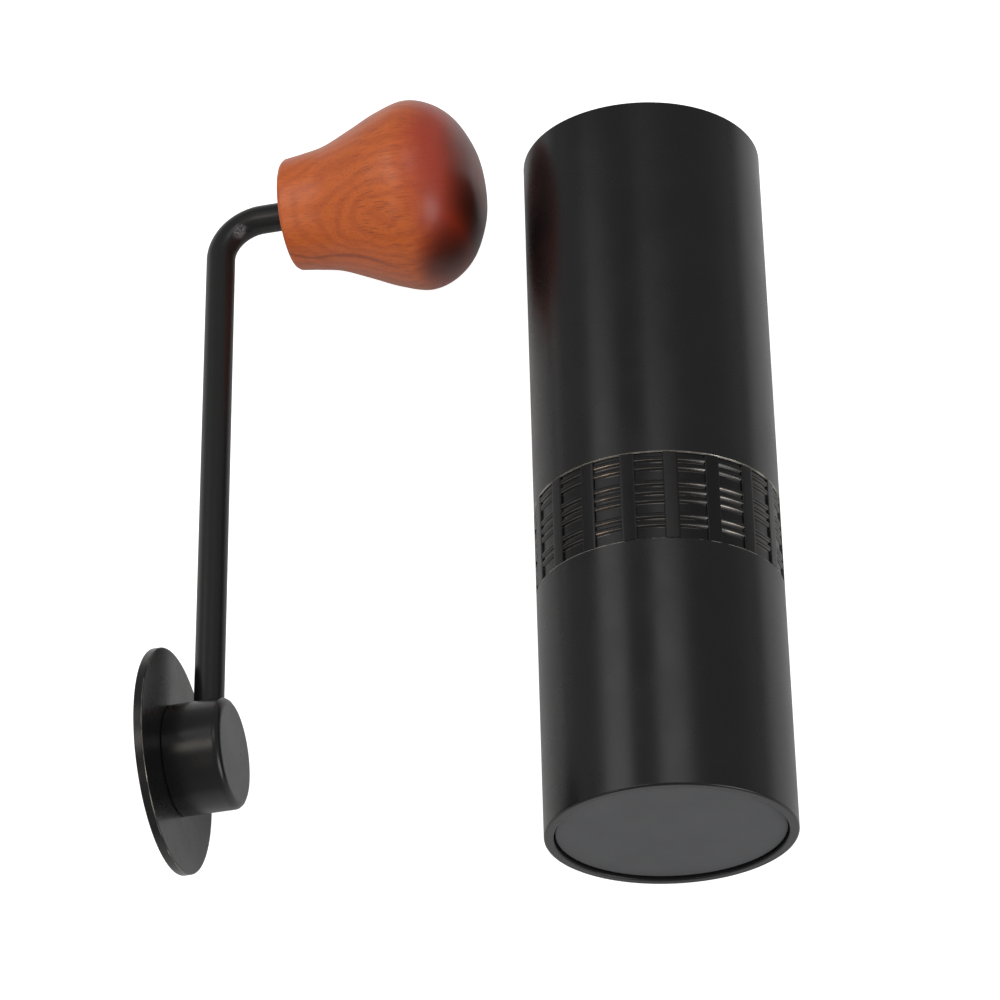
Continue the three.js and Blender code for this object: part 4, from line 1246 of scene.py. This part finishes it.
# %% Lid pieces
disc = spun("lid_disc_turned", [
    (11.5, -2.15), (26.3, -2.15, 0.3), (26.3, 0, 0.4), (11.5, 0),
], 240)
lid = settle("lid_disc_turned", disc, CRANK_PLACE, "black_anodised", "lid", "lid_disc")
lid.data.materials[0] = LOOKS["lid_anodised"]
bush = spun("lid_bush_turned", [
    (9.85, -3.45, 0.25), (13.4, -3.45, 0.35), (13.4, -2.4), (11.2, -2.4), (11.2, -0.1), (9.85, -0.1),
], 128, 0.15)
settle("lid_bush_turned", bush, CRANK_PLACE, "white_nylon", "lid", "lid_bush")
print("disc faces:", len(disc.polygons))

# %% [markdown]
# ## Crank hub
# The hub is a short turned boss with a radial hole that the rod is pressed into, and a slot
# underneath that drops over the shaft's tang.

# %% Hub
ROD_HEIGHT = 7.1
ARM_LENGTH = KNOB_START - ROD_HEIGHT * math.tan(KNOB_LEAN)
HUB_R = 12.95
hub = spun("crank_hub_turned", [
    (0, -6), (9.6, -6, 0.35), (9.6, -4.85), (8.6, -4.85), (8.6, -3.45), (9.6, -3.45), (9.6, 0.25),
    (HUB_R, 0.1, 0.1), (HUB_R, 13.7, 1.7), (0, 13.7),
], 192, 0.1)
SLOT_TURN = math.radians(62.1)
slot_cut = block((13.2, 4.8, 6.8), (0, 0, -3.6), SLOT_TURN, 0.0)
drill = spun("drill", [(0, 2), (3.6, 2), (3.6, 18), (0, 18)], 64, 0)
drill.transform(Matrix.Translation((0, 0, ROD_HEIGHT)) @ Matrix.Rotation(-math.pi / 2, 4, "X"))
hub = machined(hub, slot_cut, drill)
settle("crank_hub_turned", hub, CRANK_PLACE, "black_anodised", "crank", "crank_hub")
print("hub faces:", len(hub.polygons))

# %% [markdown]
# ### Rod
# The rod is one bar with one bend: three points make its path, a fillet rounds the corner to the
# bending radius, and a circle is swept along it. A groove near its end takes the knob's clip.

# %% Bent rod
SPINDLE_HEAD = 64.3
knob_way = KNOB_START - SPINDLE_HEAD * math.sin(KNOB_LEAN)
spindle_end = Vector((0, knob_way, SPINDLE_HEAD * math.cos(KNOB_LEAN)))
path = bpy.data.curves.new("crank_arm_path", "CURVE")
path.dimensions = "3D"
spline = path.splines.new("POLY")
spline.points.add(2)
stations = ((0, 2.4, ROD_HEIGHT), (0, ARM_LENGTH, ROD_HEIGHT), spindle_end)
for point, place in zip(spline.points, stations):
    point.co = (*place, 1)
sizes = {"Bend Radius": 10.6, "Rod Radius": 3.55}
tree, given = growing("crank_arm_bent", sizes)
tree.interface.new_socket("Path", in_out="INPUT", socket_type="NodeSocketGeometry")
tree.interface.move(tree.interface.items_tree["Path"], 0)
bent = filleted(tree, given["Path"], 40, given["Bend Radius"], False)
arm = swept(tree, bent, hoop(tree, 64, given["Rod Radius"]))
arm_mesh = grown(tree, arm, given, sizes, "black_rod", path)
groove = spun("groove", [(2.6, 61.2), (5, 61.2), (5, 62.6), (2.6, 62.6)], 64, 0)
groove.transform(Matrix.Translation((0, KNOB_START, 0)) @ Matrix.Rotation(KNOB_LEAN, 4, "X"))
arm_mesh = machined(arm_mesh, groove)
settle("crank_arm_bent", arm_mesh, CRANK_PLACE, "black_rod", "crank", "crank_arm")
print("rod faces:", len(arm_mesh.polygons))

# %% [markdown]
# ## Knob
# The knob is turned from one block of wood: a straight neck that swells into a pear-shaped bulb.
# Its outline has twelve stations, and a smooth curve runs through them.

# %% Turn the knob
KNOB_FOOT = 25.3
KNOB_OUTLINE = [
    (13.95, 0.8), (14.25, 3.0), (14.6, 5.5), (15.7, 11.1), (18.65, 18.2), (21.75, 25.3), (23.6, 32.4),
    (21.95, 38.5), (17.7, 43.6), (10.9, 47.3), (5.2, 48.6), (0, 48.9),
]


def through(points, steps):
    """A smooth curve through points, by the Catmull-Rom rule."""
    first = points[0] * 2 - points[1]
    last = Vector((-points[-2].x, points[-2].y))
    row = [first, *points, last]
    curve = []
    for a, b, c, d in zip(row, row[1:], row[2:], row[3:]):
        for step in range(steps):
            t = step / steps
            curve.append(((b * 2) + (c - a) * t + (a * 2 - b * 5 + c * 4 - d) * t ** 2
                          + (b * 3 - a - c * 3 + d) * t ** 3) / 2)
    return [*curve, points[-1]]


wall = through([Vector((radius, KNOB_FOOT + along)) for radius, along in KNOB_OUTLINE], 10)
BORE_HEAD = KNOB_FOOT + 41
outline = [(0, BORE_HEAD, 0.3), (5.6, BORE_HEAD, 0.3), (5.6, KNOB_FOOT, 0.3), (13.4, KNOB_FOOT, 0.4)]
outline += [tuple(point) for point in wall]
knob = spun("knob_turned", outline, 192, 0.02)
settle("knob_turned", knob, KNOB_PLACE, "red_wood", "knob", "knob")
sleeve = spun("knob_sleeve_turned", [(3.7, 25.7), (5.4, 25.7), (5.4, 60.9), (3.7, 60.9)], 96, 0.2)
settle("knob_sleeve_turned", sleeve, KNOB_PLACE, "white_nylon", "knob", "knob_sleeve")
print("knob faces:", len(knob.polygons))

# %% [markdown]
# ## Finish
# The view transform is Standard, so colours come out as written.

# %% Last checks
scene.view_settings.view_transform = "Standard"
print("pieces:", len(settled), "faces:", sum(len(piece.data.polygons) for piece in settled))
low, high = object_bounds()
print("visual box in mm:", [round(side / MM, 1) for side in high - low])
